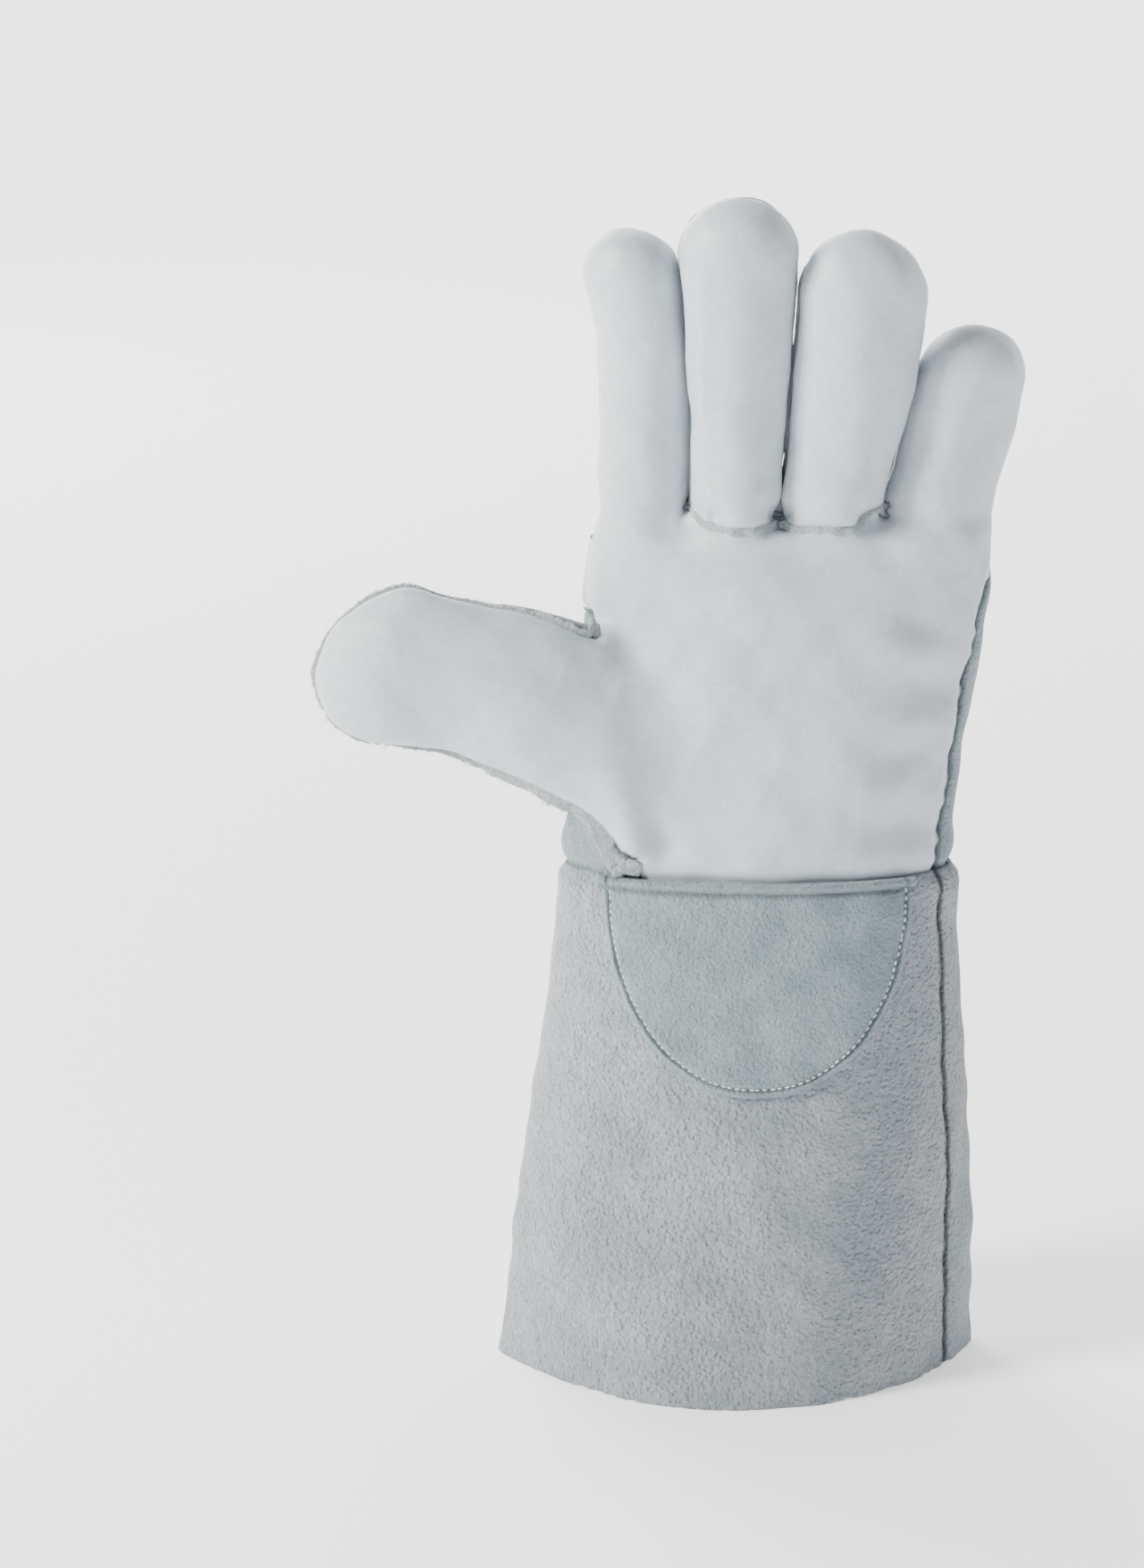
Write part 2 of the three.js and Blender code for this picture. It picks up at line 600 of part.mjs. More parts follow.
export default makeGlove();
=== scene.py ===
# Looks of the leather welding gauntlet. Lengths are in millimetres until a mesh is made.
import bpy
import numpy as np
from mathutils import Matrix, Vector


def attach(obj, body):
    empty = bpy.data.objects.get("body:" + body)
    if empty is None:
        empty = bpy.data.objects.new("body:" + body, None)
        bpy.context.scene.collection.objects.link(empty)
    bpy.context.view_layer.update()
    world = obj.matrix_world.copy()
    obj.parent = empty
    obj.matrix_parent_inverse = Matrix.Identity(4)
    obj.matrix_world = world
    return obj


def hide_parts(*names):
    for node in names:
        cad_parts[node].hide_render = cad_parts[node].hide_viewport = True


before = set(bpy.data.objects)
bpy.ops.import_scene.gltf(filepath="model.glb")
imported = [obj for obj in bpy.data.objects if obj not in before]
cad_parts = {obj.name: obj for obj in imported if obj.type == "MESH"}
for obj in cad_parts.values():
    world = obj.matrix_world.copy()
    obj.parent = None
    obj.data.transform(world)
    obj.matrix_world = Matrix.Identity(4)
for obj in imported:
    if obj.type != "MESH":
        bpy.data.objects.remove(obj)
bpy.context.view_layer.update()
print("frame loaded")

hand = {
    "cuffHeight": 152.0, "wristShift": 5.5, "palmHeight": 104.0, "palmWidth": 115.0, "palmDepth": 52.0,
    "step": 1.0,  # mesh size of the leather skin
    "wall": 1.3,
    "tuck": 10.0,  # hand leather inside the cuff
    "tableBlur": 4.0,
    "gap": -1.2,  # between two fingers that press on each other, before their edges are rounded
}
# up, wide, deep, side, fore: shares of the palm's sizes
palmRows = [
    (-0.3, 0.963, 0.88, 0.048, 0.0), (-0.02, 0.963, 0.885, 0.048, 0.0), (0.08, 0.965, 0.92, 0.043, 0.0),
    (0.29, 0.985, 1.0, 0.068, 0.0), (0.48, 0.99, 1.0, 0.083, 0.0), (0.65, 1.0, 0.96, 0.107, 0.02),
    (0.83, 0.99, 0.83, 0.113, 0.05), (0.94, 0.97, 0.67, 0.12, 0.085), (1.0, 0.93, 0.55, 0.12, 0.1),
    (1.3, 0.9, 0.5, 0.12, 0.1),
]
crotch = hand["cuffHeight"] + hand["palmHeight"]
# place is a share of the palm's width; apart is how far a finger is held off its neighbours while
# the skin is meshed
fingers = {
    "index": {
        "length": 81.5, "width": 30, "depth": 28, "place": -0.239, "apart": -7, "seamBack": 3, "rows": [
        (-0.5, 0.84, 0.84, 0.0, 0.05), (0.0, 0.92, 0.96, 0.0, 0.07), (0.29, 0.93, 1.0, -0.005, 0.09),
        (0.64, 0.93, 1.0, -0.03, 0.12), (0.86, 1.0, 1.0, -0.16, 0.2), (1.0, 1.0, 1.0, -0.2, 0.3)]},
    "middle": {
        "length": 92, "width": 34, "depth": 29, "place": -0.033, "apart": -2, "seamBack": 1, "rows": [
        (-0.5, 0.66, 0.8, 0.0, 0.2), (0.0, 0.8, 0.94, 0.0, 0.28), (0.22, 0.81, 0.97, 0.047, 0.31),
        (0.5, 0.895, 1.0, 0.041, 0.35), (0.78, 1.0, 1.0, 0.026, 0.45), (1.0, 1.0, 1.0, 0.02, 0.55)]},
    "ring": {
        "length": 83, "width": 36.5, "depth": 29, "place": 0.203, "apart": 3, "seamBack": 1, "rows": [
        (-0.5, 0.62, 0.8, -0.03, 0.2), (0.0, 0.8, 0.94, 0.0, 0.29), (0.26, 0.9, 0.98, 0.107, 0.32),
        (0.57, 1.0, 1.0, 0.211, 0.38), (0.77, 1.0, 1.0, 0.25, 0.45), (1.0, 1.0, 1.0, 0.23, 0.55)]},
    "little": {
        "length": 54.5, "width": 31, "depth": 26, "place": 0.489, "apart": 8, "seamBack": 4, "rows": [
        (-0.6, 0.84, 0.84, -0.1, 0.07), (0.0, 1.02, 0.96, -0.05, 0.08), (0.2, 1.06, 1.0, 0.01, 0.09),
        (0.48, 1.06, 1.0, 0.16, 0.12), (0.81, 1.0, 1.0, 0.258, 0.22), (1.0, 1.0, 1.0, 0.25, 0.3)]},
}
fingerNames = list(fingers)
thumb = {"length": 82, "width": 45.6, "depth": 25, "lift": 13, "seamFore": 19, "rows": [
    (-0.6, 0.7, 0.8, -0.3, 0.25), (-0.4, 0.8, 0.9, -0.3, 0.3), (-0.21, 1.3, 1.04, -0.25, 0.4),
    (-0.11, 1.14, 1.2, -0.17, 0.46), (0.02, 1.18, 1.24, -0.02, 0.52), (0.23, 1.05, 1.06, 0.055, 0.68),
    (0.49, 0.98, 1.0, 0.11, 0.76), (0.74, 1.0, 1.0, 0.09, 0.76), (1.0, 1.0, 0.96, 0.0, 0.76)]}
thumbRoot = np.array([-0.365 * hand["palmWidth"], 0.0, hand["cuffHeight"] + 0.447 * hand["palmHeight"]])
rise = np.radians(thumb["lift"])
thumbAlong = np.array([-np.cos(rise), 0.0, np.sin(rise)])
thumbUp = np.array([np.sin(rise), 0.0, np.cos(rise)])


def sections(rows, start, length, width, depth):
    # places along the part, and there the half sizes (wide, deep) and the middle (side, y), blurred
    rows = np.array(rows, float)
    places = np.arange(start + rows[0, 0] * length, start + rows[-1, 0] * length + 20, 0.5)
    share = (places - start) / length
    sizes = np.array([0.5 * width, 0.5 * depth, width, -depth])
    columns = [np.interp(share, rows[:, 0], rows[:, k + 1]) * sizes[k] for k in range(4)]
    reach = np.arange(-24, 25)
    weights = np.exp(-0.5 * (reach * 0.5 / hand["tableBlur"]) ** 2)
    weights /= weights.sum()
    soft = [np.convolve(np.pad(c, 24, mode="edge"), weights, mode="valid") for c in columns]
    return places, *soft


palmSizes = [hand[key] for key in ("cuffHeight", "palmHeight", "palmWidth", "palmDepth")]
palmSections = sections(palmRows, *palmSizes)
for one in fingers.values():
    one["sections"] = sections(one["rows"], crotch, one["length"], one["width"], one["depth"])
    one["tip"] = 0.5 * one["width"]
    one["top"] = crotch + one["length"]
thumb["sections"] = sections(thumb["rows"], 0.0, thumb["length"], thumb["width"], thumb["depth"])


def softMin(a, b, k):
    # h = clamp(1/2 + (b - a) / 2k); a h + b (1 - h) - k h (1 - h)
    h = np.clip(0.5 + 0.5 * (b - a) / k, 0, 1)
    return b + (a - b) * h - k * h * (1 - h)


def softMax(a, b, k):
    return -softMin(-a, -b, k)


def hump(x, width):
    # one at zero, fading away over the width
    return np.exp(-((x / width) ** 2))


def smoothStep(x, low, high):
    t = np.clip((x - low) / (high - low), 0, 1)
    return t * t * (3 - 2 * t)


def ovalDistance(dx, dy, dz, a, b, c):
    # k0 (k0 - 1) / k1, with k0 = |(dx/a, dy/b, dz/c)| and k1 = |(dx/a², dy/b², dz/c²)|
    k0 = np.sqrt((dx / a) ** 2 + (dy / b) ** 2 + (dz / c) ** 2) + 1e-5
    k1 = np.sqrt((dx / a**2) ** 2 + (dy / b**2) ** 2 + (dz / c**2) ** 2) + 1e-5
    return k0 * (k0 - 1) / k1


def sectionAt(table, place):
    return [np.interp(place, table[0], column) for column in table[1:]]


def palmDistance(x, y, z):
    a, b, cx, cy = sectionAt(palmSections, z)
    return ovalDistance(x - cx, y - cy, np.maximum(0, z - 250), a, b, 7.0)


def thumbDistance(x, y, z):
    s = (x - thumbRoot[0]) * thumbAlong[0] + (z - thumbRoot[2]) * thumbAlong[2]
    u = (x - thumbRoot[0]) * thumbUp[0] + (z - thumbRoot[2]) * thumbUp[2]
    a, b, cu, cy = sectionAt(thumb["sections"], s)
    tip = 0.5 * thumb["width"]
    past = np.maximum(0, s - (thumb["length"] - tip)) + np.maximum(0, -20 - s)
    return ovalDistance(u - cu, y - cy, past, a, b, tip)


def fingerRow(name, z):
    one = fingers[name]
    a, b, cx, cy = sectionAt(one["sections"], z)
    past = np.clip((z - (one["top"] - one["tip"])) / one["tip"], 0, 0.999)
    return a, b, cx + one["place"] * hand["palmWidth"], cy, np.sqrt(1 - past**2)


def fingerDistance(name, x, y, z):
    # the finger's own rounded tube, cut back softly where a neighbour presses on it
    one = fingers[name]
    a, b, cx, cy, rounding = fingerRow(name, z)
    past = np.maximum(0, z - (one["top"] - one["tip"])) + np.maximum(0, crotch - 26 - z)
    d = ovalDistance(x - cx, y - cy, past, a, b, one["tip"])
    k = fingerNames.index(name)
    for other in fingerNames[max(0, k - 1):k] + fingerNames[k + 1:k + 2]:
        a2, _, cx2, cy2, rounding2 = fingerRow(other, z)
        away = np.sqrt((cx2 - cx) ** 2 + (cy2 - cy) ** 2)
        ux, uy = (cx2 - cx) / away, (cy2 - cy) / away
        share = a * rounding / (a * rounding + a2 * rounding2)
        plane = (x - cx) * ux + (y - cy) * uy - away * share + hand["gap"] / 2
        d = softMax(d, plane, 3.0)
    return d


def apartShift(name, z):
    return fingers[name]["apart"] * smoothStep(z, crotch - 3, crotch + 12)


def handDistance(x, y, z):
    # soft union of palm, thumb and fingers, with the fingers held apart
    body = softMin(palmDistance(x, y, z), thumbDistance(x, y, z), 7.0)
    front = smoothStep(-y, 0, 12)
    for name in fingerNames:
        d = fingerDistance(name, x - apartShift(name, z), y, z)
        soft = 6 - 3 * front * (name in ("middle", "ring"))
        body = softMin(body, d, soft)
    return body


def surfaceNet(values, origin, step):
    # one point in each cell that the surface crosses, at the mean of its edge crossings;
    # the four cells round a crossed edge make a face
    shape = np.array(values.shape)
    total = np.zeros((values.size, 3))
    count = np.zeros(values.size)
    quads = []
    for axis in range(3):
        low, high = [slice(None)] * 3, [slice(None)] * 3
        low[axis], high[axis] = slice(0, -1), slice(1, None)
        a, b = values[tuple(low)], values[tuple(high)]
        crossed = (a < 0) != (b < 0)
        place = np.argwhere(crossed)
        a, b = a[crossed], b[crossed]
        point = place.astype(float)
        point[:, axis] += a / (a - b)
        u, v = [k for k in range(3) if k != axis]
        corners = []
        for du, dv in ((0, 0), (-1, 0), (-1, -1), (0, -1)):
            cell = place.copy()
            cell[:, u] += du
            cell[:, v] += dv
            corners.append(np.ravel_multi_index(cell.T, shape))
            for k in range(3):
                total[:, k] += np.bincount(corners[-1], point[:, k], values.size)
            count += np.bincount(corners[-1], minlength=values.size)
        quad = np.stack(corners, 1)
        turned = (a >= 0) != (axis == 1)
        quad[turned] = quad[turned][:, ::-1]
        quads.append(quad)
    quads = np.concatenate(quads)
    used, flat = np.unique(quads, return_inverse=True)
    points = total[used] / count[used][:, None] * step + origin
    return points, flat.reshape(quads.shape)


def gradient(function, points, reach=0.05):
    columns = []
    for axis in range(3):
        offset = np.zeros(3)
        offset[axis] = reach
        columns.append((function(*(points + offset).T) - function(*(points - offset).T)) / (2 * reach))
    return np.stack(columns, 1)


def neighbourMean(points, pairs):
    count = np.bincount(pairs.ravel(), minlength=len(points))[:, None]
    total = np.zeros_like(points)
    for k in range(points.shape[1]):
        total[:, k] = np.bincount(pairs[:, 0], points[pairs[:, 1], k], len(points))
        total[:, k] += np.bincount(pairs[:, 1], points[pairs[:, 0], k], len(points))
    return total / np.maximum(count, 1)


def edgePairs(faces):
    ends = np.concatenate([faces[:, [k, (k + 1) % faces.shape[1]]] for k in range(faces.shape[1])])
    return np.unique(np.sort(ends, 1), axis=0)


def pointNormals(points, faces):
    corner = points[faces]
    cross = np.cross(corner[:, 1] - corner[:, 0], corner[:, 2] - corner[:, 0])
    normals = np.zeros_like(points)
    for k in range(3):
        for c in range(3):
            normals[:, k] += np.bincount(faces[:, c], cross[:, k], len(points))
    return normals / np.maximum(np.linalg.norm(normals, axis=1, keepdims=True), 1e-9)


def meshSkin():
    step = hand["step"]
    low, high = np.array([-134.0, -40.0, 132.0]), np.array([96.0, 33.0, 356.0])
    axes = [np.arange(low[k], high[k], step) for k in range(3)]
    values = handDistance(axes[0][:, None, None], axes[1][None, :, None], axes[2][None, None, :])
    values[:, :, 0] = 1.0
    points, quads = surfaceNet(values, low, step)
    pairs = edgePairs(quads)
    for _ in range(4):
        points += 0.6 * (neighbourMean(points, pairs) - points)
        slope = gradient(handDistance, points)
        d = handDistance(*points.T)
        away = (d / np.maximum((slope**2).sum(1), 0.05))[:, None] * slope
        points -= np.clip(away, -1.0, 1.0)
    a, b, c, d = (points[quads[:, k]] for k in range(4))
    long = (np.linalg.norm(a - c, axis=1) > np.linalg.norm(b - d, axis=1))[:, None]
    first = np.where(long, quads[:, [0, 1, 3]], quads[:, [0, 1, 2]])
    second = np.where(long, quads[:, [1, 2, 3]], quads[:, [0, 2, 3]])
    return points, np.concatenate([first, second])


apartPoints, faces = meshSkin()
print("skin meshed:", len(apartPoints), "points")


def fingerAffinity(points):
    x, y, z = points.T
    near = [fingerDistance(name, x - apartShift(name, z), y, z) for name in fingerNames]
    return np.stack(near + [palmDistance(x, y, z), thumbDistance(x, y, z)], 1)


def closedPoints(points):
    # each point goes back by the shift of the finger it lies on, blended in the crotches
    near = fingerAffinity(points)
    weights = np.exp(-(near - near.min(1, keepdims=True)) / 0.8)
    weights /= weights.sum(1, keepdims=True)
    shifts = np.stack([apartShift(name, points[:, 2]) for name in fingerNames], 1)
    closed = points.copy()
    closed[:, 0] -= (weights[:, :4] * shifts).sum(1)
    return closed


def cutAlong(data, faces, labels, values, active):
    # splits every edge that a line of zero value crosses in an active face; the labels follow their faces
    values = np.where(np.abs(values) < 0.15, 0, values)
    size = len(data)
    ends = faces[:, [1, 2, 0]]
    key = np.minimum(faces, ends) * size + np.maximum(faces, ends)
    wanted = (values[faces] * values[ends] < 0) & active[:, None]
    split = np.unique(key[wanted])
    if not len(split):
        return data, faces, labels
    place = np.minimum(np.searchsorted(split, key), len(split) - 1)
    isSplit = split[place] == key
    a, b = split // size, split % size
    t = (values[a] / (values[a] - values[b]))[:, None]
    data = np.concatenate([data, data[a] * (1 - t) + data[b] * t])
    middle = size + place
    count = isSplit.sum(1)
    newFaces, newLabels = [faces[count == 0]], [labels[count == 0]]
    for k in range(3):
        order = [k, (k + 1) % 3, (k + 2) % 3]
        one = (count == 1) & isSplit[:, k]
        v, m = faces[one][:, order], middle[one][:, k]
        newFaces += [np.stack([v[:, 0], m, v[:, 2]], 1), np.stack([m, v[:, 1], v[:, 2]], 1)]
        newLabels += [labels[one]] * 2
        two = (count == 2) & ~isSplit[:, (k + 1) % 3]
        v, m, n = faces[two][:, order], middle[two][:, k], middle[two][:, (k + 2) % 3]
        newFaces += [np.stack([v[:, 0], m, n], 1), np.stack([m, v[:, 1], v[:, 2]], 1)]
        newFaces.append(np.stack([m, v[:, 2], n], 1))
        newLabels += [labels[two]] * 3
    return data, np.concatenate(newFaces), np.concatenate(newLabels)


# Where the panels lie: each function is negative inside its panel
thumbSideSeam = -42.3
palmSeamFore = 9.0
wrapInner = -16.4
wrapDrop = 26.0
wrapTall = 31.0


def halfWall(name, z):
    return 7.0 * np.sqrt(np.clip((fingers[name]["top"] - 8 - z) / 16, 0, 1))


def frontValue(name, x, y, z):
    a, _, cx, cy, _ = fingerRow(name, z)
    away = (cx - x) if name == "middle" else (x - cx)
    curl = 6.5 * np.clip(away / a, 0, 1.1) ** 5
    return np.maximum(y - (cy + fingers[name]["seamBack"] - 0.4 * halfWall(name, z)), crotch - 1 + curl - z)


def wallValue(name, side, x, y, z):
    a, _, cx, cy, rounding = fingerRow(name, z)
    past = y - cy - fingers[name]["seamBack"]
    half = np.maximum(halfWall(name, z), 1)
    across = np.maximum(past - half, -past - 0.4 * half)
    ends = np.maximum(crotch - 3 - z, z - (fingers[name]["top"] - 8.5))
    return np.maximum(np.maximum(across, ends), 0.3 * a * rounding - side * (x - cx))


def fourchetteValue(left, right):
    def value(x, y, z, owner):
        k = fingerNames.index(left)
        walls = np.where(owner == k, wallValue(left, 1, x, y, z), 9.0)
        walls = np.where(owner == k + 1, wallValue(right, -1, x, y, z), walls)
        (a, _, cx, cy, _), (a2, _, cx2, cy2, _) = fingerRow(left, crotch), fingerRow(right, crotch)
        depth = (cy + cy2) / 2
        web = np.maximum(cx + 0.3 * a - x, x - cx2 + 0.3 * a2)
        web = np.maximum(web, np.maximum(depth - 3 - y, y - depth - 7))
        web = np.maximum(web, np.maximum(crotch - 3 - z, z - crotch - 4))
        return np.minimum(walls, web)
    return value


def thumbBackValue(x, y, z, owner):
    run = np.interp(z, [152, 164.5, 191.5, 212.3], [12.5, 11.25, 5.6, 0.0])
    seam = thumbSideSeam + np.where(y < -4.5, run, 0) - np.maximum(0, z - 225.5)
    return np.maximum(np.maximum(-thumb["seamFore"] - y, x - seam), z - 242)


def wrapValue(x, y, z, owner):
    across = np.clip((wrapInner - x) / (wrapInner - thumbSideSeam), 0, 1)
    arc = crotch - wrapDrop + wrapTall * np.sqrt(1 - across**2) - 5 * smoothStep(-x, 39.5, 43)
    onIndex = (owner == 0) | ((x < -27) & (z > 226))
    return np.where(onIndex, arc - z, 9.0)


def palmValue(x, y, z, owner):
    rise = smoothStep(z, 224.8, 252)
    frontOf = y - (-palmSeamFore + rise * (palmSeamFore - 2.1))
    frontOf = np.maximum(frontOf, z - crotch - 6)
    _, _, _, cy, _ = fingerRow("little", z)
    overTip = 4.5 * smoothStep(z, fingers["little"]["top"] - 17, fingers["little"]["top"] - 5)
    littleFront = np.where(owner == 3, np.maximum(y - cy - overTip, crotch - 6 - z), 9.0)
    return np.minimum(np.minimum(frontOf, littleFront), wrapValue(x, y, z, owner))


def onFinger(name):
    k = fingerNames.index(name)
    return lambda x, y, z, owner: np.where(owner == k, frontValue(name, x, y, z), 9.0)


panels = [
    ("middle_front", onFinger("middle"), "grain_leather"),
    ("ring_front", onFinger("ring"), "grain_leather"),
    ("fourchette_index_middle", fourchetteValue("index", "middle"), "grain_leather"),
    ("fourchette_middle_ring", fourchetteValue("middle", "ring"), "grain_leather"),
    ("fourchette_ring_little", fourchetteValue("ring", "little"), "grain_leather"),
    ("thumb_back", thumbBackValue, "hand_suede"),
    ("palm", palmValue, "grain_leather"),
]


def cutPanels(points, faces):
    closed = closedPoints(points)
    data = np.concatenate([points, closed[:, :1]], 1)
    labels = np.full(len(faces), -1)
    data, faces, labels = cutAlong(data, faces, labels, data[:, 2] - (152 - hand["tuck"]), labels < 0)
    keep = data[faces, 2].mean(1) > 152 - hand["tuck"]
    faces, labels = faces[keep], labels[keep]
    for k, (_, value, _) in enumerate(panels):
        def valuesAt(rows):
            owner = fingerAffinity(rows[:, :3])[:, :4].argmin(1)
            return value(rows[:, 3], rows[:, 1], rows[:, 2], owner)
        data, faces, labels = cutAlong(data, faces, labels, valuesAt(data), labels < 0)
        inside = valuesAt(data[faces].mean(1)) < 0
        labels[(labels < 0) & inside] = k
    labels[labels < 0] = len(panels)
    used, flat = np.unique(faces, return_inverse=True)
    data, faces = data[used], flat.reshape(faces.shape)
    closed = np.stack([data[:, 3], data[:, 1], data[:, 2]], 1)
    return data[:, :3], closed, faces, labels


apartPoints, closed, faces, labels = cutPanels(apartPoints, faces)
panelNames = [name for name, _, _ in panels] + ["back"]
panelSlots = dict([(name, slot) for name, _, slot in panels] + [("back", "hand_suede")])
print("panels cut:", {name: int((labels == k).sum()) for k, name in enumerate(panelNames)})


def nearest(points, targets):
    # distance to the nearest target and its number, in blocks
    best, which = np.empty(len(points), np.float32), np.empty(len(points), int)
    points, targets = points.astype(np.float32), targets.astype(np.float32)
    size = (targets**2).sum(1)
    for start in range(0, len(points), 4000):
        block = points[start:start + 4000]
        d = (block**2).sum(1)[:, None] + size[None, :] - 2 * block @ targets.T
        which[start:start + 4000] = d.argmin(1)
        best[start:start + 4000] = np.sqrt(np.maximum(d.min(1), 0))
    return best, which


def seamPoints(first=None, second=None):
    # points that lie on the border of two panels, or of any two
    touches = np.zeros((len(closed), len(panelNames)), bool)
    for c in range(3):
        touches[faces[:, c], labels] = True
    if first is None:
        return touches.sum(1) > 1
    return touches[:, panelNames.index(first)] & touches[:, panelNames.index(second)]


seamDistance, _ = nearest(apartPoints, apartPoints[seamPoints()])

# Folds. x, z of both ends on the front or back view, how wide, how high; a dent is negative
frontFolds = [
    (-34, 176, -31, 160, 5, 1.8), (-26, 172, -22, 158, 4, -0.9), (-39, 186, -34, 176, 6, 0.8),
    (-12, 192, 8, 184, 13, -1.6), (6, 172, 30, 168, 10, 1.2), (-20, 212, -2, 203, 12, 1.0),
    (44, 231, 56, 224, 7, -1.5), (48, 211, 62, 207, 7, -2.0), (36, 191, 52, 187, 7, -1.5),
    (34, 169, 50, 166, 8, -1.4), (40, 221, 58, 215, 6, 1.1), (38, 200, 56, 196, 6, 1.1),
    (30, 178, 48, 176, 7, 1.0), (-28, 246, -6, 236, 9, 1.0), (-4, 250, 20, 246, 6, -0.8),
    (34, 252, 46, 244, 6, -1.0), (-52, 214, -36, 208, 8, -1.2), (-105, 196, -88, 199, 3.5, 0.7),
    (-80, 222, -56, 214, 5, -0.6), (-20, 262, -22, 296, 5, -0.8), (-13, 266, -13, 330, 2.5, 0.8),
    (-12, 258.5, -8, 257.5, 2.6, -1.8), (6, 258.5, 13, 258, 2.8, -2.0), (33, 259, 37, 257, 2.8, -2.0),
    (-8, 264, 6, 266, 4, 0.9), (14, 265, 32, 267, 4, 0.9), (2, 275, 0, 300, 6, -0.5),
    (26, 274, 30, 300, 7, -0.5), (62, 262, 70, 295, 4, -0.9), (52, 262, 60, 292, 4, 0.8),
]
backFolds = [
    (-10, 300, -16, 232, 4.5, 2.0), (-22, 256, -33, 238, 4, 1.6), (-26, 247, -38, 226, 4.5, 1.4),
    (-16, 236, -12, 222, 5, 1.2), (-4, 262, -6, 240, 5, -1.2), (21, 309, 33, 281, 3.5, 2.0),
    (14, 296, 10, 283, 3.5, -1.6), (11, 283, 32, 273, 3.2, 2.0), (12, 267, 21, 250, 3.2, 2.0),
    (21, 250, 29, 230, 3.6, 1.6), (24, 262, 33, 249, 2.2, -1.2), (30, 290, 34, 262, 4, -1.2),
    (40, 258, 46, 236, 5, 1.4), (50, 250, 58, 230, 5, -1.2), (0, 210, 10, 176, 12, 1.6),
    (-24, 206, -20, 172, 10, -1.2), (34, 206, 38, 172, 10, 1.2), (10, 230, 20, 212, 8, -1.0),
    (-77, 223, -66, 212, 3, -1.8), (-73, 219, -64, 211, 2.6, 1.6), (-66, 200, -54, 190, 6, 1.4),
    (-90, 215, -76, 206, 6, 1.0), (60, 300, 66, 270, 5, 1.2), (56, 280, 58, 262, 4, -1.0),
]


def foldHeight(points, normals, rows, facing):
    rows = np.array(rows, float)
    start, end = rows[:, :2], rows[:, 2:4]
    along = end - start
    place = points[:, None, [0, 2]] - start[None]
    share = np.clip((place * along).sum(2) / (along**2).sum(1), 0, 1)
    gap = np.linalg.norm(place - share[:, :, None] * along, axis=2)
    height = (hump(gap, rows[:, 4]) * rows[:, 5] * (1 - 0.6 * (2 * share - 1) ** 2)).sum(1)
    return height * smoothStep(facing * normals[:, 1], -0.1, 0.5)


def waves(points, seed, scale, count=10):
    # sum of sines in seeded directions, about one high
    draw = np.random.default_rng(seed)
    ways = draw.normal(size=(count, 3))
    ways /= np.linalg.norm(ways, axis=1, keepdims=True)
    pace = 2 * np.pi / (scale * draw.uniform(0.7, 1.5, count))
    phase = draw.uniform(0, 2 * np.pi, count)
    return np.sin((points @ ways.T) * pace + phase).sum(1) / np.sqrt(count)


seamShape = {"groove": 0.9, "grooveWidth": 1.5, "puff": 0.4, "wave": 0.55}
foldGain = {"front": 1.35, "back": 1.1}
normals = pointNormals(closed, faces)
onHand = smoothStep(-closed[:, 2], -crotch - 8, -crotch + 4)
lift = foldGain["front"] * foldHeight(closed, normals, frontFolds, -1)
lift += foldGain["back"] * foldHeight(closed, normals, backFolds, 1)
lift += seamShape["wave"] * waves(closed, 3, 34) + 0.2 * waves(closed, 5, 13)
pucker = 1 + 0.5 * waves(closed, 8, 5.5)
groove = seamShape["groove"] * (0.25 + 0.75 * onHand) * pucker
lift -= groove * hump(seamDistance, seamShape["grooveWidth"])
lift += seamShape["puff"] * hump(seamDistance - 4, 2.5)
# the hand swells over the cuff's edge and dips into the seam
above = closed[:, 2] - hand["cuffHeight"]
lift += (1.7 * hump(above - 6, 6) - 0.8 * hump(above, 1.6)) * (above > -1)
lift *= smoothStep(above, -5, -1)
closed = closed + normals * lift[:, None]
normals = pointNormals(closed, faces)
print("folds made")


onBack = normals[:, 1] > 0.15
onWrap = onBack & (closed[:, 2] > 225) & (closed[:, 0] < -5)
wrapEdge, _ = nearest(closed, closed[seamPoints("palm", "back") & onWrap])
stripEdge, _ = nearest(closed, closed[seamPoints("thumb_back", "back") & onBack])
lap = {"height": 1.2, "palm": 8.5, "thumb_back": 8.6}


def lapLift(name, own):
    # a lapped edge lies on top: it is raised over its whole strip, and its groove is filled again
    edge = (wrapEdge if name == "palm" else stripEdge)[own]
    width = lap[name]
    strip = 1 - smoothStep(edge, width - 1.5, width + 1)
    return strip * lap["height"] + seamShape["groove"] * 0.8 * hump(edge, seamShape["grooveWidth"])


def makeObject(name, points, polygons, slot, replaces=(), attributes=None, material=None):
    mesh = bpy.data.meshes.new(name)
    mesh.from_pydata((np.asarray(points) * 0.001).tolist(), [], np.asarray(polygons).tolist())
    mesh.polygons.foreach_set("use_smooth", np.ones(len(mesh.polygons), bool))
    for key, values in (attributes or {}).items():
        mesh.attributes.new(key, "FLOAT", "POINT").data.foreach_set("value", np.asarray(values, np.float32))
    mesh.update()
    made = bpy.data.objects.new(name, mesh)
    bpy.context.collection.objects.link(made)
    mesh.materials.append(material or materials[slot])
    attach(made, "root")
    if replaces:
        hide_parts(*replaces)


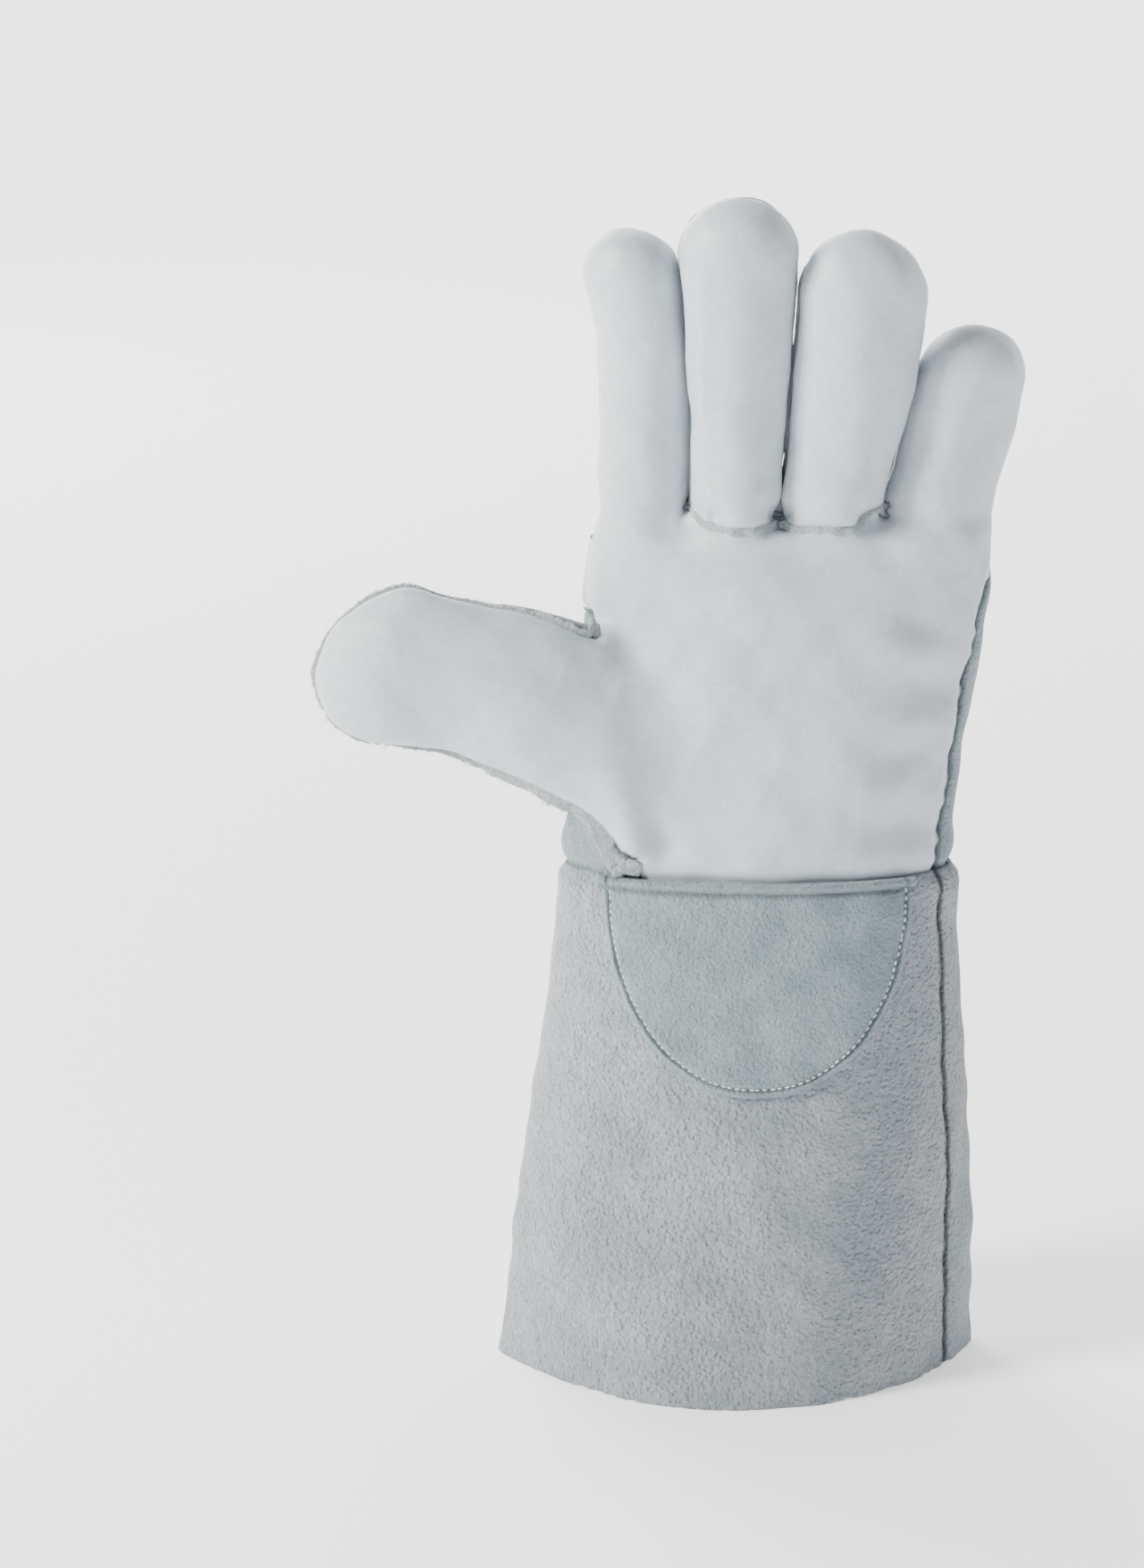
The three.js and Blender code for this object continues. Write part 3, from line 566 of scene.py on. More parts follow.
def makeSheet(node, points, faces, wall, slot, seam):
    # the outer skin, an inner one a wall further in, and a rim round every free edge, above the floor
    normals = pointNormals(points, faces)
    inner = points - normals * wall
    ends = np.concatenate([faces[:, [0, 1]], faces[:, [1, 2]], faces[:, [2, 0]]])
    key = np.sort(ends, 1)
    _, place, count = np.unique(key[:, 0] * len(points) + key[:, 1], return_index=True, return_counts=True)
    free = ends[place[count == 1]]
    size = len(points)
    rim = np.concatenate([
        np.stack([free[:, 1], free[:, 0], free[:, 0] + size], 1),
        np.stack([free[:, 1], free[:, 0] + size, free[:, 1] + size], 1)])
    points = np.concatenate([points, inner])
    points[:, 2] = np.maximum(points[:, 2], 0)
    faces = np.concatenate([faces, faces[:, ::-1] + size, rim])
    seam = np.concatenate([seam, seam])
    makeObject(node + "_leather", points, faces, slot, (node,), {"seamDistance": seam})


class Value:
    # a number socket that Python's operators work on

    def __init__(self, tree, socket):
        self.tree, self.socket = tree, socket

    def maths(self, operation, other):
        return self.tree.node("ShaderNodeMath", {"operation": operation}, [self, other])

    def __add__(self, other):
        return self.maths("ADD", other)

    def __mul__(self, other):
        return self.maths("MULTIPLY", other)

    __radd__ = __add__
    __rmul__ = __mul__


class Tree:
    def __init__(self, name):
        self.material = bpy.data.materials.new(name)
        self.material.use_nodes = True
        self.nodes = self.material.node_tree.nodes
        self.links = self.material.node_tree.links
        self.shader = self.nodes["Principled BSDF"]

    def node(self, kind, settings=None, inputs=(), output=0):
        made = self.nodes.new(kind)
        for key, value in (settings or {}).items():
            setattr(made, key, value)
        pairs = inputs.items() if isinstance(inputs, dict) else enumerate(inputs)
        for key, value in pairs:
            self.join(value, made.inputs[key])
        return Value(self, made.outputs[output])

    def join(self, value, socket):
        if isinstance(value, Value):
            self.links.new(value.socket, socket)
        elif isinstance(value, tuple) and len(value) == 3 and socket.type == "RGBA":
            socket.default_value = (*value, 1)
        else:
            socket.default_value = value

    def place(self):
        return self.node("ShaderNodeTexCoord", output="Object")

    def noise(self, place, scale, detail=3, roughness=0.55, distortion=0.0):
        inputs = {"Vector": place, "Scale": scale, "Detail": detail, "Roughness": roughness}
        return self.node("ShaderNodeTexNoise", {}, {**inputs, "Distortion": distortion}, "Fac")

    def cells(self, place, scale, feature="F1"):
        inputs = {"Vector": place, "Scale": scale}
        return self.node("ShaderNodeTexVoronoi", {"feature": feature}, inputs, "Distance")

    def between(self, value, low, high, toLow=0.0, toHigh=1.0):
        inputs = {"Value": value, "From Min": low, "From Max": high, "To Min": toLow, "To Max": toHigh}
        return self.node("ShaderNodeMapRange", {"interpolation_type": "SMOOTHSTEP"}, inputs, "Result")

    def mix(self, share, first, second):
        made = self.nodes.new("ShaderNodeMix")
        made.data_type = "RGBA"
        self.join(share, made.inputs[0])
        self.join(first, made.inputs[6])
        self.join(second, made.inputs[7])
        return Value(self, made.outputs[2])

    def attribute(self, name):
        return self.node("ShaderNodeAttribute", {"attribute_name": name}, {}, "Fac")

    def bump(self, height, depth):
        return self.node("ShaderNodeBump", {}, {"Strength": 1.0, "Distance": depth, "Height": height})

    def set(self, **sockets):
        for key, value in sockets.items():
            self.join(value, self.shader.inputs[key])


def colour(red, green, blue):
    # from a colour as seen on screen, 0 to 255, to linear light
    return tuple(((c / 255 + 0.055) / 1.055) ** 2.4 for c in (red, green, blue))


def grainMaterial():
    t = Tree("grain_leather")
    place = t.place()
    pebbles = t.cells(place, 1400, "SMOOTH_F1")
    creases = t.noise(place, 260, 6, 0.62, 0.8)
    broad = t.noise(place, 22, 3)
    seam = t.attribute("seamDistance")
    deep = t.between(seam, 0.0, 1.2)
    base = t.mix(broad, colour(182, 193, 201), colour(195, 204, 210))
    # painted shade: the leather is darkened in the valleys of the crease texture, where the bump sinks
    base = t.mix(t.between(creases, 0.35, 0.62), t.mix(0.35, base, colour(164, 176, 184)), base)
    # painted shade: within 1.2 mm of a seam line the colour darkens to grey, where the bump sinks the seam
    # into a groove
    base = t.mix(deep, colour(140, 146, 150), base)
    height = creases * 0.7 + pebbles * 0.3 + t.noise(place, 900, 2) * 0.2 + deep * 1.5
    rough = t.between(creases, 0.3, 0.7, 0.5, 0.4)
    t.set(**{"Base Color": base, "Roughness": rough, "Normal": t.bump(height, 0.00022)})
    t.set(**{"Specular IOR Level": 0.42, "Sheen Weight": 0.08})
    return t.material


def suedeMaterial(name, light, dark, napScale, napDepth):
    t = Tree(name)
    place = t.place()
    nap = t.noise(place, napScale, 5, 0.65, 0.4)
    clumps = t.noise(place, napScale * 0.28, 4, 0.6, 0.6)
    broad = t.noise(place, 30, 4, 0.6)
    seam = t.attribute("seamDistance")
    deep = t.between(seam, 0.0, 1.8)
    base = t.mix(t.between(broad, 0.35, 0.65), dark, light)
    base = t.mix(t.between(nap, 0.32, 0.68), t.mix(0.45, base, tuple(0.55 * c for c in dark)), base)
    # painted shade: within 1.8 mm of a seam or stitch line the suede darkens to a third of its dark tone,
    # where the bump sinks a groove
    base = t.mix(deep, tuple(0.35 * c for c in dark), base)
    specks = t.between(t.cells(place, napScale * 0.8), 0.1, 0.6)
    base = t.mix(t.between(clumps, 0.3, 0.7), t.mix(0.22, base, tuple(0.55 * c for c in dark)), base)
    height = nap + clumps * 1.6 + specks * 0.5 + deep * 2
    t.set(**{"Base Color": base, "Roughness": t.between(nap, 0.3, 0.7, 0.98, 0.82)})
    t.set(**{"Normal": t.bump(height, napDepth), "Specular IOR Level": 0.18})
    t.set(**{"Sheen Weight": 0.35, "Sheen Roughness": 0.5})
    return t.material


def plainThread(name, tone):
    t = Tree(name)
    twist = t.noise(t.place(), 2200, 2)
    t.set(**{"Base Color": t.mix(twist, tone, tuple(0.7 * c for c in tone)), "Roughness": 0.7})
    t.set(**{"Normal": t.bump(twist, 0.0001)})
    return t.material


materials = {
    "grain_leather": grainMaterial(),
    "hand_suede": suedeMaterial("hand_suede", colour(146, 162, 168), colour(130, 146, 153), 1000, 0.0005),
    "cuff_split": suedeMaterial("cuff_split", colour(176, 185, 193), colour(152, 163, 172), 800, 0.0014),
    "raw_edge": suedeMaterial("raw_edge", colour(190, 197, 200), colour(158, 168, 172), 1100, 0.0004),
}

# The hand's panels
skin = {}
for k, name in enumerate(panelNames):
    own, flat = np.unique(faces[labels == k], return_inverse=True)
    part = flat.reshape(-1, 3)
    points = closed[own].copy()
    if name in ("palm", "thumb_back"):
        points += normals[own] * lapLift(name, own)[:, None]
    skin[name] = (points, normals[own])
    makeSheet(name, points, part, hand["wall"], panelSlots[name], seamDistance[own])
print("hand panels made")

# Cuff
cuff = {"height": 152.0, "mouth": (143.0, 103.0), "wrist": (115.0, 50.0), "wall": 1.8, "bulge": 1.4,
        "twist": 3.0, "roundness": 1.25}


def cuffSection(z, grow):
    # middle in x, half sizes, roundness and twist of the section at z, which is grown outward
    up = np.clip(z / cuff["height"], 0, 1.02)
    bow = cuff["bulge"] * 2 * np.maximum(0, up * (1 - up))
    a = (cuff["mouth"][0] + (cuff["wrist"][0] - cuff["mouth"][0]) * up) / 2 + bow + grow
    b = (cuff["mouth"][1] + (cuff["wrist"][1] - cuff["mouth"][1]) * up) / 2 + grow
    r = cuff["roundness"] + (2 - cuff["roundness"]) * np.minimum(up, 1)
    turn = np.radians(cuff["twist"]) * (1 - np.minimum(up, 1))
    return hand["wristShift"] * up + bow, a, b, r, turn


def cuffPoint(t, z):
    # x = a cos t, y = b sign(sin t) |sin t|^(2/r), then turned by the twist
    middle, a, b, r, turn = cuffSection(z, 0)
    x = middle + a * np.cos(t)
    y = b * np.sign(np.sin(t)) * np.abs(np.sin(t)) ** (2 / r)
    turned = [x * np.cos(turn) - y * np.sin(turn), x * np.sin(turn) + y * np.cos(turn), z + 0 * x]
    return np.stack(turned, -1)


def seamAngle(side, z):
    up = z / cuff["height"]
    r = cuffSection(z, 0)[3]
    if side == "little":
        return -np.arcsin((0.36 + 0.08 * up) ** (r / 2))
    return np.pi - np.arcsin((0.22 + 0.2 * up) ** (r / 2))


def gridFaces(rows, columns, closedAround=False):
    across = np.arange(columns if closedAround else columns - 1)
    r, c = np.meshgrid(np.arange(rows - 1), across, indexing="ij")
    a, b = r * columns + c, r * columns + (c + 1) % columns
    quads = np.stack([a, b, b + columns, a + columns], -1).reshape(-1, 4)
    return np.concatenate([quads[:, [0, 1, 2]], quads[:, [0, 2, 3]]])


cuffSkin = {}


def cuffPanel(name, start, end):
    rows, columns = 150, 190
    z, share = np.meshgrid(np.linspace(0, cuff["height"], rows), np.linspace(0, 1, columns), indexing="ij")
    first, last = start(z), end(z)
    points = cuffPoint(first + (last - first) * share, z)
    flat = points.reshape(-1, 3)
    part = gridFaces(rows, columns)
    out = pointNormals(flat, part)
    width = np.linalg.norm(np.diff(points, axis=1), axis=2).sum(1)[:, None]
    edge = (np.minimum(share, 1 - share) * width).ravel()
    z = z.ravel()
    lift = 0.8 * waves(flat, 12, 60) + 0.3 * waves(flat, 15, 18)
    lift -= hump(edge, 1.6) * (1 + 0.4 * waves(flat, 17, 6))
    # the top edge rolls in against the hand
    lift -= 1.6 * hump(cuff["height"] - z, 1.8)
    lift += 0.5 * hump(cuff["height"] - 5 - z, 3)
    flat = flat + out * lift[:, None]
    ragged = 0.35 * waves(flat, 21, 6) + 0.25 * waves(flat, 22, 2.2)
    flat[:, 2] += np.maximum(ragged, -flat[:, 2]) * hump(z, 2.5) * (z < 8)
    flat[:, 2] = np.maximum(flat[:, 2], 0)
    cuffSkin[name] = (flat.reshape(rows, columns, 3), pointNormals(flat, part).reshape(rows, columns, 3))
    makeSheet(name, flat, part, cuff["wall"], "cuff_split", edge)


cuffPanel("cuff_front", lambda z: seamAngle("thumb", z), lambda z: 2 * np.pi + seamAngle("little", z))
cuffPanel("cuff_back", lambda z: seamAngle("little", z), lambda z: seamAngle("thumb", z))
print("cuff made")


def joinMeshes(parts):
    # several meshes as one list of points and one of faces
    starts = np.cumsum([0] + [len(points) for points, _ in parts[:-1]])
    return np.concatenate([p for p, _ in parts]), np.concatenate([f + k for (_, f), k in zip(parts, starts)])


def lengthAlong(path):
    return np.concatenate([[0], np.cumsum(np.linalg.norm(np.diff(path, axis=0), axis=1))])


def atLengths(at, length, rows):
    return np.stack([np.interp(at, length, rows[:, k]) for k in range(3)], 1)


def evenly(path, spacing):
    # points at even steps along a path
    length = lengthAlong(path)
    count = max(2, int(round(length[-1] / spacing)) + 1)
    return atLengths(np.linspace(0, length[-1], count), length, path)


def blurred(path, reach):
    weights = np.hanning(2 * reach + 1)
    weights /= weights.sum()
    ends = np.concatenate([np.repeat(path[:1], reach, 0), path, np.repeat(path[-1:], reach, 0)])
    return np.stack([np.convolve(ends[:, k], weights, mode="valid") for k in range(path.shape[1])], 1)


def unit(vectors):
    return vectors / np.maximum(np.linalg.norm(vectors, axis=-1, keepdims=True), 1e-9)


def sweep(path, out, around, shape):
    # shape(share, turn): how far a point lies along out and along the third way, at a share of the path
    along = unit(np.gradient(path, axis=0))
    out = unit(out - along * (out * along).sum(1, keepdims=True))
    third = np.cross(along, out)
    turns = np.arange(around) / around * 2 * np.pi
    share, turn = np.meshgrid(np.linspace(0, 1, len(path)), turns, indexing="ij")
    far, side = shape(share, turn)
    ring = path[:, None] + far[..., None] * out[:, None] + side[..., None] * third[:, None]
    rows = len(path)
    quads = gridFaces(rows, around, True)
    points = np.concatenate([ring.reshape(-1, 3), ring[:1].mean(1), ring[-1:].mean(1)])
    k = np.arange(around)
    nextOne = (k + 1) % around
    first = np.stack([0 * k + rows * around, nextOne, k], 1)
    last = np.stack([0 * k + rows * around + 1, k + (rows - 1) * around, nextOne + (rows - 1) * around], 1)
    return points, outward(points, np.concatenate([quads, first, last]))


def outward(points, faces):
    # turned so that the enclosed volume is positive
    corner = points[faces]
    volume = (np.cross(corner[:, 0], corner[:, 1]) * corner[:, 2]).sum()
    return faces if volume > 0 else faces[:, ::-1]


def signedPower(value, power):
    return np.sign(value) * np.abs(value) ** power


def beads(places, along, up, length, width, height):
    # small ellipsoids: (length/2 cos f, width/2 sin f cos t, height/2 sin f sin t) laid along the given ways
    rings, sides = 7, 6
    turns = np.arange(sides) / sides * 2 * np.pi
    f, t = np.meshgrid(np.linspace(0, np.pi, rings), turns, indexing="ij")
    shape = np.stack([np.cos(f), np.sin(f) * np.cos(t), np.sin(f) * np.sin(t)], -1)
    shape = shape.reshape(-1, 3) * [length / 2, width / 2, height / 2]
    along = unit(along)
    up = unit(up - along * (up * along).sum(1, keepdims=True))
    axes = np.stack([along, np.cross(up, along), up], 1)
    points = places[:, None] + np.einsum("vk,nkc->nvc", shape, axes)
    part = outward(shape, gridFaces(rings, sides, True))
    faces = part[None] + (np.arange(len(places)) * len(shape))[:, None, None]
    return points.reshape(-1, 3), faces.reshape(-1, 3)


def awayFromSeams(points):
    return {"seamDistance": np.full(len(points), 9.0)}


def onSkin(xz, facing, names):
    # the point of the finished skin that shows at x, z from the front (-1) or the back (1), and its normal
    points = np.concatenate([skin[name][0] for name in names])
    out = np.concatenate([skin[name][1] for name in names])
    seen = facing * out[:, 1] > 0.1
    points, out = points[seen], out[seen]
    gap, which = nearest(xz, points[:, [0, 2]])
    normal, base = out[which], points[which]
    depth = base[:, 1] - ((xz - base[:, [0, 2]]) * normal[:, [0, 2]]).sum(1) / normal[:, 1]
    return np.stack([xz[:, 0], depth, xz[:, 1]], 1), normal, (gap < 1.2) & (facing * normal[:, 1] > 0.3)


# Wrist patch: half an oval on the cuff, its top edge folded over
patch = {"middle": 4.5, "width": 90.0, "height": 61.5, "roundness": 2.2, "wall": 1.3, "gap": 0.3,
         "stitchInset": 2.4, "stitchStep": 2.05, "meanReach": 52.0}


def cuffFront(x, z, grow):
    # y of the cuff's front at x, z: the section's curve solved for y, its twist undone in four steps
    middle, a, b, r, turn = cuffSection(z, grow)
    y = -b
    for _ in range(4):
        flatX = x * np.cos(turn) + y * np.sin(turn)
        cosine = np.clip((flatX - middle) / a, -0.999, 0.999)
        flatY = -b * (1 - cosine**2) ** (1 / r)
        y = flatX * np.sin(turn) + flatY * np.cos(turn)
    return y


def makePatch():
    rings, steps = 90, 260
    share = 1 - (1 - np.linspace(0, 1, rings)) ** 1.5
    r, t = np.meshgrid(share, np.linspace(0, np.pi, steps), indexing="ij")
    x = patch["middle"] - r * patch["width"] / 2 * signedPower(np.cos(t), 2 / patch["roundness"])
    down = r * patch["height"] * np.abs(np.sin(t)) ** (2 / patch["roundness"])
    rimX, rimDown = x[-1], down[-1]
    inset = (1 - r) * np.sqrt((rimX - patch["middle"]) ** 2 + rimDown**2)
    z = cuff["height"] - down
    base = np.stack([x, cuffFront(x, z, patch["gap"]), z], -1)
    flat = base.reshape(-1, 3)
    part = gridFaces(rings, steps)[:, ::-1]
    out = pointNormals(flat, part)
    if out[:, 1].mean() > 0:
        part, out = part[:, ::-1], -out
    out[(r == 0).ravel()] = [0, -1, 0]
    inset, down = inset.ravel(), down.ravel()
    height = patch["wall"] + 0.25 + 0.8 * waves(flat, 12, 60) + 0.3 * waves(flat, 15, 18)
    height += 0.3 * waves(flat, 31, 12)
    height -= 0.7 * hump(inset, 0.9) * (down > 3)  # thin cut edge
    height -= 0.55 * hump(inset - patch["stitchInset"], 0.8) * (down > 4)
    height += 0.7 * hump(down - 1.1, 1.0) - 0.5 * hump(down - 3.2, 1.0)
    height -= 1.5 * hump(down, 0.5)
    flat = flat + out * height[:, None]
    seam = np.minimum(np.abs(inset - patch["stitchInset"]) + 0.6, np.abs(down - 3.2) * 0.8 + 0.5)
    makeSheet("wrist_patch", flat, part, patch["wall"], "hand_suede", seam)
    turn = np.linspace(0.02, np.pi - 0.02, 2000)
    shrink = 1 - patch["stitchInset"] / patch["meanReach"]
    x = patch["middle"] - shrink * patch["width"] / 2 * signedPower(np.cos(turn), 2 / patch["roundness"])
    z = cuff["height"] - shrink * patch["height"] * np.sin(turn) ** (2 / patch["roundness"])
    line = evenly(np.stack([x, 0 * x, z], 1)[z < cuff["height"] - 4], patch["stitchStep"])
    _, which = nearest(line[:, [0, 2]], flat[:, [0, 2]])
    places, ways = flat[which], pointNormals(flat, part)[which]
    along = np.gradient(line, axis=0)
    thread = beads(places + 0.12 * ways, along, ways, 1.45, 0.62, 0.6)
    # painted shade: dark flat beads between the stitches stand in for the shade inside the stitch holes
    holeShadeBeads = beads(places + unit(along) * patch["stitchStep"] / 2 + 0.02 * ways, along, ways, 0.75, 0.7, 0.3)
    lightThread = plainThread("patch_thread", colour(226, 236, 240))
    makeObject("patch_stitches", *thread, "raw_edge", material=lightThread)
    # dark colour for the painted shade in the stitch holes
    holeShade = plainThread("patch_hole_shade", colour(92, 104, 108))
    makeObject("patch_stitch_hole_shade", *holeShadeBeads, "raw_edge", material=holeShade)


makePatch()
print("patch made")

# Raw edges in the thumb's seam: two layers that stand out of it and widen towards the cuff
welt = {
    "pivot": (-55.0, 200.0), "spacing": 0.5, "wall": 1.1,
    # shares of the seam, and how wide the strip stands out there
    "back": ([0, 0.04, 0.2, 0.42, 0.55, 0.68, 0.8, 0.95, 1], [1.2, 1.8, 1.3, 1.5, 1.9, 2.1, 3.2, 3.6, 2.2]),
    "front": ([0, 0.3, 0.6, 0.95, 1], [0.5, 1.1, 2.1, 2.6, 1.2]),
}


def seamPath():
    touching = seamPoints("palm", "thumb_back") & (closed[:, 1] < -10)
    points = closed[touching]
    angle = np.arctan2(points[:, 2] - welt["pivot"][1], points[:, 0] - welt["pivot"][0])
    angle = np.where(angle < np.radians(20), angle + 2 * np.pi, angle)
    points = points[np.argsort(angle)]
    path = blurred(evenly(blurred(points, 4), welt["spacing"]), 7)
    return evenly(path, welt["spacing"])


def rawStrip(path, name, width, shift, seed, replaces=()):
    along = unit(np.gradient(path, axis=0))
    out = np.stack([-along[:, 2], 0 * along[:, 0], along[:, 0]], 1)
    middle = np.array([welt["pivot"][0], 0, welt["pivot"][1]])
    out *= np.sign(((path - middle) * out).sum(1, keepdims=True).mean())
    reach = np.interp(np.linspace(0, 1, len(path)), *width) * (1 + 0.1 * waves(path, seed, 11))
    reach += 0.16 * waves(path, seed + 1, 1.1) + 0.14 * waves(path, seed + 2, 2.6)
    reach = np.maximum(reach, 0.4)[:, None]
    bend = 0.5 * waves(path, seed + 3, 14)[:, None] + 0.2 * waves(path, seed + 4, 4)[:, None]

    def shape(share, turn):
        far = (reach + 2.4) / 2 * signedPower(np.cos(turn), 0.4) + (reach - 2.4) / 2
        side = welt["wall"] / 2 * signedPower(np.sin(turn), 0.6) * (1 + 0.12 * np.maximum(far, 0))
        side = side + shift + bend * np.maximum(far, 0) / 3
        return far, side

    points, part = sweep(path, out, 18, shape)
    makeObject(name, points, part, "raw_edge", replaces, awayFromSeams(points))
    return path + out * reach, out


weltPath = seamPath()
edgeLine, edgeWay = rawStrip(weltPath, "thumb_welt_leather", welt["back"], -0.65, 41, ("thumb_welt",))
frontPath = weltPath[int(0.52 * len(weltPath)):] - np.array([0, 0.75, 0])
rawStrip(frontPath, "thumb_seam_edge", welt["front"], 0.0, 51)
print("thumb welt made:", len(weltPath), "steps")


def fibres(line, way, count, seed):
    # loose fibres: thin three-sided hairs along curved paths p + s l (way + s bend), tapering to the end
    draw = np.random.default_rng(seed)
    at = draw.uniform(0, len(line) - 1.01, count)
    low, share = at.astype(int), (at % 1)[:, None]
    start = line[low] * (1 - share) + line[low + 1] * share
    lead = way[low] + draw.normal(0, 0.45, (count, 3)) * [1, 0.8, 1]
    bend = draw.normal(0, 0.8, (count, 3))
    length = draw.gamma(3, 0.28, count)[:, None]
    steps, sides = 4, 3
    s = np.linspace(0, 1, steps)[None, :, None]
    root = (start - 0.3 * way[low])[:, None]
    path = root + s * length[:, None] * (unit(lead)[:, None] + s * bend[:, None])
    turn = np.arange(sides) / sides * 2 * np.pi
    across = unit(np.cross(lead, [0.3, 1, 0.2]))
    third = unit(np.cross(lead, across))
    ring = np.cos(turn)[None, :, None] * across[:, None] + np.sin(turn)[None, :, None] * third[:, None]
    thick = (0.075 * (1 - 0.75 * s))[..., None]
    points = (path[:, :, None] + ring[:, None] * thick).reshape(-1, 3)
    part = np.concatenate([gridFaces(steps, sides, True), [[0, 2, 1]], [[9, 10, 11]]])
    part = outward(points[:steps * sides], part)
    faces = part[None] + (np.arange(count) * steps * sides)[:, None, None]
    return points, faces.reshape(-1, 3)


half = len(edgeLine) // 2
fuzz = [fibres(edgeLine, edgeWay, 420, 5), fibres(edgeLine[half:], edgeWay[half:], 700, 6)]
makeObject("thumb_welt_fibres", *joinMeshes(fuzz), "raw_edge")


def baseStrip(name, part):
    touching = seamPoints("palm", part) & (closed[:, 1] < -4)
    points = closed[touching]
    points = points[np.argsort(points[:, 0])]
    path = evenly(blurred(evenly(blurred(points, 2), 0.4), 4), 0.4)
    out = np.tile([0.0, -0.62, -0.78], (len(path), 1))
    reach = (1.35 + 0.25 * waves(path, 61, 3))[:, None]

    def shape(share, turn):
        fade = np.sqrt(np.clip(np.minimum(share, 1 - share) * 12, 0.05, 1))
        far = ((reach + 1.6) / 2 * signedPower(np.cos(turn), 0.5) + (reach - 1.6) / 2) * fade
        return far, 0.6 * signedPower(np.sin(turn), 0.7) * fade

    points, faces = sweep(path, out, 14, shape)
    makeObject(name + "_leather", points, faces, "raw_edge", (name,), awayFromSeams(points))


baseStrip("middle_base_welt", "middle_front")
baseStrip("ring_base_welt", "ring_front")

# Padded rolls along the back seams between the fingers: down one finger, round the crotch, up the next
rolls = [
    {"left": "index", "right": "middle", "high": (316, 268), "radius": (1.8, 1.1)},
    {"left": "middle", "right": "ring", "high": (304, 276), "radius": (1.3, 1.2)},
    {"left": "ring", "right": "little", "high": (306, 300), "radius": (1.3, 2.4)},
]


def rollSide(name, side, high):
    z = np.arange(crotch + 2.5, high, 0.6)
    a, b, cx, cy, rounding = fingerRow(name, z)
    y = cy + fingers[name]["seamBack"] + halfWall(name, z) - 1.2
    x = cx + side * a * rounding * np.sqrt(np.clip(1 - ((y - cy) / (b * rounding)) ** 2, 0, 1))
    other = fingerNames[fingerNames.index(name) + side]
    a2, _, cx2, _, rounding2 = fingerRow(other, z)
    limit = cx + side * (np.abs(cx2 - cx) * a * rounding / (a * rounding + a2 * rounding2) - 0.6)
    x = np.minimum(x, limit) if side > 0 else np.maximum(x, limit)
    return np.stack([x, y, z], 1)


for roll in rolls:
    left = rollSide(roll["left"], 1, roll["high"][0])[::-1]
    right = rollSide(roll["right"], -1, roll["high"][1])
    turn = np.linspace(0, np.pi, 9)[1:-1]
    start, end = left[-1], right[0]
    bend = (start + end) / 2 - np.cos(turn)[:, None] * (end - start) / 2
    bend[:, 2] -= 1.8 * np.sin(turn)
    path = evenly(blurred(evenly(np.concatenate([left, bend, right]), 0.6), 2), 0.6)
    share = np.linspace(0, 1, len(path))
    turnAt = len(left) / (len(left) + len(right) + 7)
    first, last = roll["radius"]
    radius = np.interp(share, [0, 0.06, turnAt - 0.04, turnAt, turnAt + 0.04, 0.94, 1],
                       [0.2, first, first, 1.0, last, last, 0.2])
    radius = (radius * (1 + 0.08 * waves(path, 71, 7)))[:, None]
    points, part = sweep(path, np.tile([0.0, 1.0, 0.2], (len(path), 1)), 16,
                         lambda share, turn: (radius * np.cos(turn), radius * np.sin(turn)))
    name = "roll_%s_%s" % (roll["left"], roll["right"])
    makeObject(name, points, part, "grain_leather", (), awayFromSeams(points))
print("rolls made")

# Stitches on the back: two rows on each lapped strip, two rows round the top of the cuff
stitchRows = {"step": 3.4, "length": 1.7, "width": 0.6}


def backRow(places, ways):
    along = np.gradient(places, axis=0)
    return beads(places - 0.05 * ways, along, ways, stitchRows["length"], stitchRows["width"], 0.45)


def rowsOnHand():
    turn = np.linspace(0.05, np.pi / 2 - 0.2, 300)
    wide = wrapInner - thumbSideSeam
    found = []
    for inset in (2.2, 6.0):
        x = wrapInner - (wide + inset) * np.cos(turn)
        z = crotch - wrapDrop + (wrapTall + inset * 0.9) * np.sin(turn)
        found.append((np.stack([x, 0 * x, z], 1), ["palm"]))
    for inset in (2.4, 6.2):
        z = np.linspace(156, 225, 300)
        found.append((np.stack([thumbSideSeam - inset + 0 * z, 0 * z, z], 1), ["thumb_back"]))
    parts = []
    for line, names in found:
        line = evenly(line, stitchRows["step"])
        places, ways, near = onSkin(line[:, [0, 2]], 1, names)
        parts.append(backRow(places[near], ways[near]))
    return parts


def rowsOnCuff():
    points, ways = cuffSkin["cuff_back"]
    parts = []
    for down in (2.6, 6.5):
        row = int(round((cuff["height"] - down) / cuff["height"] * (points.shape[0] - 1)))
        length = lengthAlong(points[row])
        at = np.arange(3, length[-1] - 3, stitchRows["step"])
        parts.append(backRow(atLengths(at, length, points[row]), atLengths(at, length, ways[row])))
    return parts


darkThread = plainThread("dark_thread", colour(118, 128, 132))
makeObject("back_stitches", *joinMeshes(rowsOnHand() + rowsOnCuff()), "raw_edge", material=darkThread)


def sidePricks():
    # pricks of thread down both side seams of the cuff
    parts = []
    for points, ways in cuffSkin.values():
        rows, column = np.arange(2, len(points) - 2, 3), points.shape[1] - 3
        places, out = points[rows, column], ways[rows, column]
        across = places - points[rows, column - 3]
        parts.append(beads(places + 0.1 * out, across, out, 1.5, 0.5, 0.45))
    return parts


makeObject("cuff_seam_stitches", *joinMeshes(sidePricks()), "raw_edge", material=darkThread)
print("stitches made")

# Light, floor and camera


